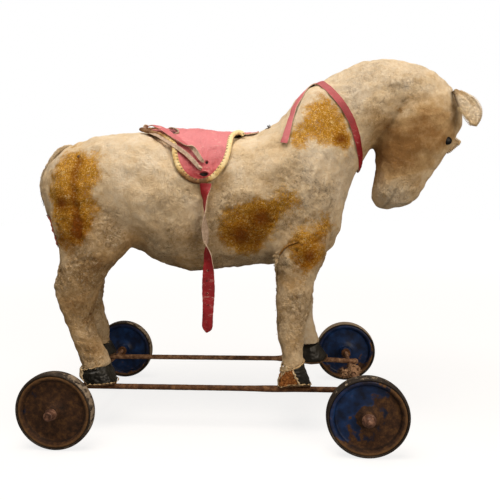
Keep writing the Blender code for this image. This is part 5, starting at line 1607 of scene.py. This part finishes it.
# Along the strap: place, turn from lying flat in degrees, half width
UPPER_RUN = [(-0.0606, -0.0955, 0.4322, 180, 0.0020), (-0.0645, -0.1000, 0.4355, 178, 0.0030),
             (-0.0702, -0.0968, 0.4432, 170, 0.0035), (-0.0780, -0.0905, 0.4530, 140, 0.0038),
             (-0.0875, -0.0870, 0.4576, 60, 0.0042), (-0.1020, -0.0782, 0.4680, 12, 0.0046),
             (-0.1178, -0.0668, 0.4782, 2, 0.0048), (-0.1350, -0.0510, 0.4895, 0, 0.0047),
             (-0.1530, -0.0345, 0.4975, 0, 0.0045), (-0.1620, -0.0310, 0.4978, 0, 0.0042)]
LOOP_END = (-0.1680, -0.0350, 0.4945)
LOWER_RUN = [(-0.1620, -0.0430, 0.4882, 180, 0.0034), (-0.1510, -0.0535, 0.4822, 180, 0.0032),
             (-0.1380, -0.0655, 0.4760, 180, 0.0031), (-0.1203, -0.0785, 0.4655, 180, 0.0033),
             (-0.1030, -0.0875, 0.4550, 180, 0.0034), (-0.0872, -0.0950, 0.4438, 182, 0.0034),
             (-0.0747, -0.1013, 0.4317, 188, 0.0033), (-0.0680, -0.1046, 0.4245, 194, 0.0030),
             (-0.0652, -0.1040, 0.4215, 200, 0.0024), (-0.0645, -0.0990, 0.4200, 200, 0.0016)]


def outward_at(place):
    """The way off the smooth skin at a place near it."""
    found, normal, _, _ = smooth_skin.find_nearest(Vector(place))
    away = Vector(place) - found
    return (normal * 0.5 + away.normalized() * 0.5).normalized() if away.dot(normal) > 0 else normal


def band(name, stations, count, crown=0.0004, waviness=0.0004):
    """A flat strap through stations of place, the way that its good side faces, and half width."""
    route = smooth_route(stations, count)
    centre = route[:, :3]
    facing, across = strap_ways(centre, route[:, 3:6])
    rows = []
    for i in range(count):
        row = []
        for share in np.linspace(-1, 1, STRAP_COLUMNS):
            ragged = 1 + 0.05 * noise.noise(Vector((i * 0.35, share * 2, route[i, 0] * 50)))
            wave = waviness * noise.noise(Vector((i * 0.12, share * 1.2, 7)))
            row.append(centre[i] + across[i] * share * route[i, 6] * ragged
                       + facing[i] * (crown * (1 - share * share) + wave))
        rows.append(row)
    return grid_piece(name, np.array(rows))


def finish_strap(piece, node_names, body="horse", thickness=STRAP_THICKNESS,
                 good_side=strap_red, reverse=suede):
    """Give a strap its thickness and its leathers, and the CAD nodes that it stands for."""
    thicken(piece, thickness, (good_side, reverse, cut_edge), edge=0.0003, offset=0.0)
    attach(piece, body)
    if node_names:
        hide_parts(*node_names)


def turned_stations(run):
    """Stations with the way that the good side faces worked out from each turn about the strap's own line."""
    made = []
    for i, (x, y, z, degrees, half) in enumerate(run):
        before = Vector(run[max(i - 1, 0)][:3])
        after = Vector(run[min(i + 1, len(run) - 1)][:3])
        along = (after - before).normalized()
        outward = outward_at((x, y, z))
        outward = (outward - along * outward.dot(along)).normalized()
        sideways = along.cross(outward)
        angle = math.radians(degrees)
        facing = outward * math.cos(angle) + sideways * math.sin(angle)
        made.append((x, y, z, *facing, half))
    return made


backwards = (Vector(UPPER_RUN[-1][:3]) - Vector(UPPER_RUN[-3][:3])).normalized()
stations = turned_stations(UPPER_RUN) + [(*LOOP_END, *(backwards + Vector((0, -0.3, -0.2))), 0.0052)]
stations += turned_stations(LOWER_RUN)
stirrup = band("stirrup_strap_loop", stations, 200)
finish_strap(stirrup, ["stirrup_strap"], good_side=worn_red)
# A torn bit of the lining stands in the lower slot
SCRAP_RUN = [(-0.0675, -0.1062, 0.4268, 0.2, -0.8, 0.6, 0.0012),
             (-0.0645, -0.1078, 0.4240, 0.1, -0.8, 0.6, 0.0020),
             (-0.0615, -0.1066, 0.4222, 0.0, -0.8, 0.6, 0.0014)]
scrap = band("slot_scrap", SCRAP_RUN, 12)
thicken(scrap, 0.0008, [cut_edge] * 3, edge=0.0002)
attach(scrap, "horse")


# Girth straps
# The long strap hangs from under the right flap, twisted so that its reverse shows, with punched holes and
# a cut point. The short one on the left holds an iron buckle. Each swings from where it is sewn.
GIRTH_X = -0.0593
GIRTH_Y = 0.1118
# Down the long strap: x, y, z, turn in degrees, half width
GIRTH_RUN = [(-0.0563, -0.1106, 0.3988, 0, 0.0086), (-0.0565, -0.1118, 0.3940, 6, 0.0086),
             (-0.0570, -0.1150, 0.3780, 50, 0.0080), (-0.0576, -0.1170, 0.3630, 68, 0.0070),
             (-0.0580, -0.1176, 0.3500, 84, 0.0064), (-0.0582, -0.1174, 0.3380, 112, 0.0066),
             (-0.0580, -0.1170, 0.3260, 122, 0.0068), (-0.0570, -0.1166, 0.3150, 114, 0.0068),
             (-0.0560, -0.1160, 0.3075, 94, 0.0068), (-0.0555, -0.1150, 0.2993, 58, 0.0076),
             (-0.0550, -0.1132, 0.2880, 38, 0.0080), (-0.0548, -0.1126, 0.2750, 16, 0.0078),
             (-0.0550, -0.1120, 0.2620, 0, 0.0088), (-0.0556, -0.1118, 0.2355, -3, 0.0098),
             (-0.0564, -0.1118, 0.2120, 0, 0.0088), (-0.0575, -0.1118, 0.1950, 2, 0.0083),
             (-0.0585, -0.1118, 0.1800, 0, 0.0084), (-0.0592, -0.1118, 0.1735, 0, 0.0066),
             (-0.0603, -0.1118, 0.1685, 0, 0.0008)]
GIRTH_HOLES = [(-0.0556, 0.2658), (-0.0575, 0.2495), (-0.0572, 0.2300), (-0.0568, 0.2120)]


def hanging_stations(run, side):
    """Stations of a strap that hangs by the side of the horse, good side outwards where it isn't turned."""
    made = []
    for x, y, z, degrees, half in run:
        angle = math.radians(degrees)
        made.append((x, y, z, -math.sin(angle) * -side, side * math.cos(angle), 0, half))
    return made


girth = band("long_girth_strap", hanging_stations(GIRTH_RUN, -1), 170, crown=0.0002, waviness=0.0010)
places, _ = read_points(girth.data)
# The punched holes are painted dark: painted shade inside them.
punched = np.zeros(len(places))
for x, z in GIRTH_HOLES:
    punched = np.maximum(punched, 1 - soft_step(np.hypot(places[:, 0] - x, places[:, 2] - z), 0.0010, 0.0016))
paint(girth.data, "hole", punched)
finish_strap(girth, ["right_girth_strap"], "right_girth")
# A frayed ring of pale leather is left round each hole
rings = []
for x, z in GIRTH_HOLES:
    for side in (-1, 1):
        circle = [(x + 0.0017 * math.cos(a), -GIRTH_Y + side * 0.0009, z + 0.0017 * math.sin(a))
                  for a in np.linspace(0, 1.7 * math.pi, 9)]
        rings.append(circle)
rings = strands("girth_hole_rims", rings, 0.00035, taper=0.6, points=14)
finish(rings, cut_edge, body="right_girth")

short_run = [(GIRTH_X, 0.1090, 0.4010, 0, 0.0066), (GIRTH_X, 0.1118, 0.3900, 0, 0.0066),
             (GIRTH_X + 0.0006, GIRTH_Y, 0.3700, 3, 0.0065), (GIRTH_X, GIRTH_Y, 0.3480, -2, 0.0065),
             (GIRTH_X, GIRTH_Y + 0.0006, 0.3345, 0, 0.0063)]
short_girth = band("short_girth_strap", hanging_stations(short_run, 1), 60, waviness=0.0006)
finish_strap(short_girth, ["left_girth_strap"], "left_girth")
fold_run = [(GIRTH_X - 0.0002, GIRTH_Y + 0.0014, 0.3520, 0, 0.0064),
            (GIRTH_X, GIRTH_Y + 0.0018, 0.3400, 0, 0.0064), (GIRTH_X, GIRTH_Y + 0.0016, 0.3345, 0, 0.0062)]
keeper = band("buckle_fold", hanging_stations(fold_run, 1), 20)
finish_strap(keeper, [], "left_girth", thickness=0.0012)
recolour("girth_buckle", grained_material("rusty_buckle_wire", "#4A3422", "#9C8668", 0.0030, 0.55))


# Neck strap and rein end
# A strap of the same red leather round the neck, lapped under the throat, and its loose end, which stands
# off the crest in a small arch and lies down the right shoulder.
NECK_TOP = Vector((0.1176, 0, 0.5600))
NECK_BOTTOM = Vector((0.1850, 0, 0.4250))
NECK_SWAY = 0.0135
NECK_HALF_WIDTH = 0.0056
neck_middle = (NECK_TOP + NECK_BOTTOM) / 2
neck_up = (NECK_TOP - NECK_BOTTOM).normalized()
neck_forward = Vector((neck_up.z, 0, -neck_up.x))
stations = []
for i in range(63):
    angle = math.pi + 2 * math.pi * i / 60
    outward = neck_up * math.cos(angle) - Vector((0, math.sin(angle), 0))
    sway = neck_forward * NECK_SWAY * math.sin(angle) ** 2
    place, _, _, _ = smooth_skin.ray_cast(neck_middle + sway, outward)
    lap = 0.0016 * soft_step(i, 57, 60)
    lift = 0.0018 - 0.0010 * math.exp(-((math.cos(angle) - 1) / 0.05) ** 2) + lap
    stations.append((*(place + outward * lift), *outward_at(place + outward * 0.01), NECK_HALF_WIDTH))
neck_strap = band("red_neck_strap", stations, 260)
finish_strap(neck_strap, ["neck_strap"])

# From under the neck strap over the crest, clear of the plush, as places and the ways that its good side
# faces; then down the shoulder, as x and z on the side view with how far it stands off
REIN_TOP = [(0.1160, -0.0010, 0.5610, -0.2, 0.35, 0.9), (0.1110, -0.0070, 0.5600, -0.35, 0.40, 0.8),
            (0.1030, -0.0165, 0.5540, -0.5, 0.35, 0.7), (0.0955, -0.0265, 0.5468, -0.6, -0.10, 0.7),
            (0.0893, -0.0360, 0.5372, -0.55, -0.50, 0.5)]
REIN_RUN = [(0.0809, 0.5183, 0.0030), (0.0767, 0.5050, 0.0028), (0.0729, 0.4930, 0.0028),
            (0.0692, 0.4800, 0.0030), (0.0655, 0.4680, 0.0032), (0.0622, 0.4575, 0.0036)]


def hit_from_right(skin, x, z):
    """Where a level line from the horse's right meets a skin, and the way off it there."""
    place, normal, _, _ = skin.ray_cast(Vector((x, -0.3, z)), Vector((0, 1, 0)))
    return place, normal


stations = [(*station, 0.0050) for station in REIN_TOP]
for x, z, lift in REIN_RUN:
    place, normal = hit_from_right(smooth_skin, x, z)
    stations.append((*(place + normal * lift), *normal, 0.0055))
rein = band("red_rein_end", stations, 120)
# The rein's reverse is the darker suede: painted shade.
finish_strap(rein, ["rein_end"], good_side=faded_red, reverse=shaded_suede)


# Pull twine
# Hemp twine that once pulled the horse, knotted round the front axle: a few tight turns and a frayed bow.
TWINE_Y = 0.0340
twine_fibre = grained_material("old_hemp_twine", "#7E5C44", "#CFA884", 0.0020, 0.95)
axle_x = AXLE_X["front"]
coil = []
for i in range(220):
    angle = 2 * math.pi * i / 22
    share = i / 219
    radius = 0.0056 + 0.0016 * math.sin(math.pi * share) + 0.0006 * noise.noise(Vector((i * 0.2, 3, 1)))
    y = TWINE_Y - 0.0160 + 0.0310 * share + 0.0012 * noise.noise(Vector((i * 0.1, 8, 1)))
    coil.append((axle_x + radius * math.cos(angle), y, WHEEL_RADIUS + radius * math.sin(angle)))
# The knot's lumps: x and z from the axle, y, and size. Each is a tangle of small turns.
LUMPS = [(-0.0135, -0.0005, -0.0050, 0.0050), (-0.0120, -0.0065, 0.0010, 0.0042),
         (0.0080, 0.0040, 0.0020, 0.0050), (0.0070, -0.0050, 0.0040, 0.0044),
         (0.0010, 0.0075, -0.0020, 0.0040)]
BOW = []
for x, z, y, size in LUMPS:
    turns = [rand.uniform(0, 6.28) for _ in range(3)]
    BOW.append([(x + size * math.sin(1.00 * a + turns[0]), y + 0.9 * size * math.sin(1.31 * a + turns[1]),
                 z + size * math.cos(0.83 * a + turns[2])) for a in np.linspace(0, 30, 46)])
routes = [[(axle_x + x, TWINE_Y + y, WHEEL_RADIUS + z) for x, y, z in lump] for lump in BOW]
wound = strands("axle_twine_turns", [coil], 0.0016, taper=0.8, points=300)
bow = strands("axle_twine_bow", routes, 0.0014, taper=0.8, points=150)
for piece in (wound, bow):
    roughen(piece, (0.0005, 0.0026, 5.0))
    finish(piece, twine_fibre)
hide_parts("axle_twine")


def scatter(spread):
    """A small step any way, drawn three times."""
    return Vector([rand.gauss(0, spread) for _ in range(3)])


routes = []
for _ in range(120):
    loop = BOW[rand.randrange(len(BOW))]
    a = Vector(loop[rand.randrange(1, len(loop))])
    start = Vector((axle_x, TWINE_Y, WHEEL_RADIUS)) + a + scatter(0.0014)
    way = Vector((a.x, rand.gauss(0, 0.004), a.z)).normalized() * rand.uniform(0.002, 0.006)
    routes.append([start, start + way * 0.6 + scatter(0.0007), start + way])
finish(strands("axle_twine_fray", routes, 0.00028, taper=0.3, points=4), twine_fibre)


# Small things on the plush
# A rusted nail head on the rump, black thread at the withers, the ends of opened seams, a tuft left over
# the armpit, and loose pile wherever the plush is matted.
place, normal = hit_from_right(cover_skin, -0.2660, 0.4460)
nail = button("rump_nail_head", place + normal * 0.0002, 0.0026, (1, 1, 0.5),
              normal.to_track_quat("Z", "Y").to_euler(), 16, 10)
finish(nail, grained_material("rusted_nail_head", "#4A2E1A", "#8C6844", 0.0012, 0.7))


def thread_tuft(name, routes_from, count, length, radius, spread, material):
    """Loose threads that stand off the plush at a place and curl over."""
    routes = []
    for _ in range(count):
        start = Vector(routes_from) + scatter(spread)
        found, normal, _, _ = cover_skin.find_nearest(start)
        way = (normal + scatter(0.5)).normalized() * length * rand.uniform(0.6, 1.3)
        drop = Vector((0, 0, -0.35 * length * rand.random()))
        routes.append([found - normal * 0.0006, found + way * 0.6, found + way + drop])
    finish(strands(name, routes, radius, taper=0.3, points=5), material)


black_thread = grained_material("black_button_thread", "#14110F", "#4A423A", 0.0030, 0.8)
thread_tuft("withers_thread", (0.0372, -0.0380, 0.4860), 12, 0.0055, 0.00045, 0.0010, black_thread)
loose_pile = grained_material("loose_mohair", "#B89A6C", "#F0DEBA", 0.0030, 0.95)
thread_tuft("armpit_tuft", (0.0500, -0.0820, 0.2800), 90, 0.0060, 0.00042, 0.0042, loose_pile)
thread_tuft("armpit_tuft_end", (0.0480, -0.0780, 0.2700), 40, 0.0045, 0.00040, 0.0030, loose_pile)
# The fold over the armpit is edged by a tan piping, and ends in a twisted scrap of cotton
piping = []
for x, z in smooth_route([(x, z, 0) for x, z in ARMPIT_FOLD[2:]], 20)[:, :2]:
    place, normal = hit_from_right(cover_skin, x, z + 0.0014)
    piping.append(place + normal * 0.0004)
piping = strands("armpit_piping", [piping], 0.0013, taper=0.4, points=40)
finish(piping, grained_material("tan_piping", "#6E4418", "#D8A458", 0.0022, 0.95))
scraps = [[(0.0545 + i * 0.0012, -0.0830, 0.2815), (0.0515 + i * 0.0006, -0.0850, 0.2755),
           (0.0480 + i * 0.0016, -0.0835, 0.2690 - i * 0.001)] for i in range(3)]
finish(strands("armpit_scrap", scraps, 0.0015, taper=0.7, points=14), frayed_cotton)
red_thread = grained_material("rusty_red_thread", "#7A3020", "#C8705A", 0.0020, 0.9)
cord = []
for x, y, z in smooth_route(OPEN_SEAM, 16):
    place, normal, _, _ = cover_skin.find_nearest(Vector((x - 0.004, y, z)))
    cord.append(place + normal * 0.0008)
cord = strands("open_seam_piping", [cord], 0.0015, taper=0.5, points=60)
roughen(cord, (0.0007, 0.0050, 5.0))
finish(cord, red_thread)
for number, (x, y, z) in enumerate(LEG_SEAM):
    thread_tuft(f"leg_seam_threads_{number}", (x, y, z), 8, 0.0026, 0.00030, 0.0060, loose_pile)
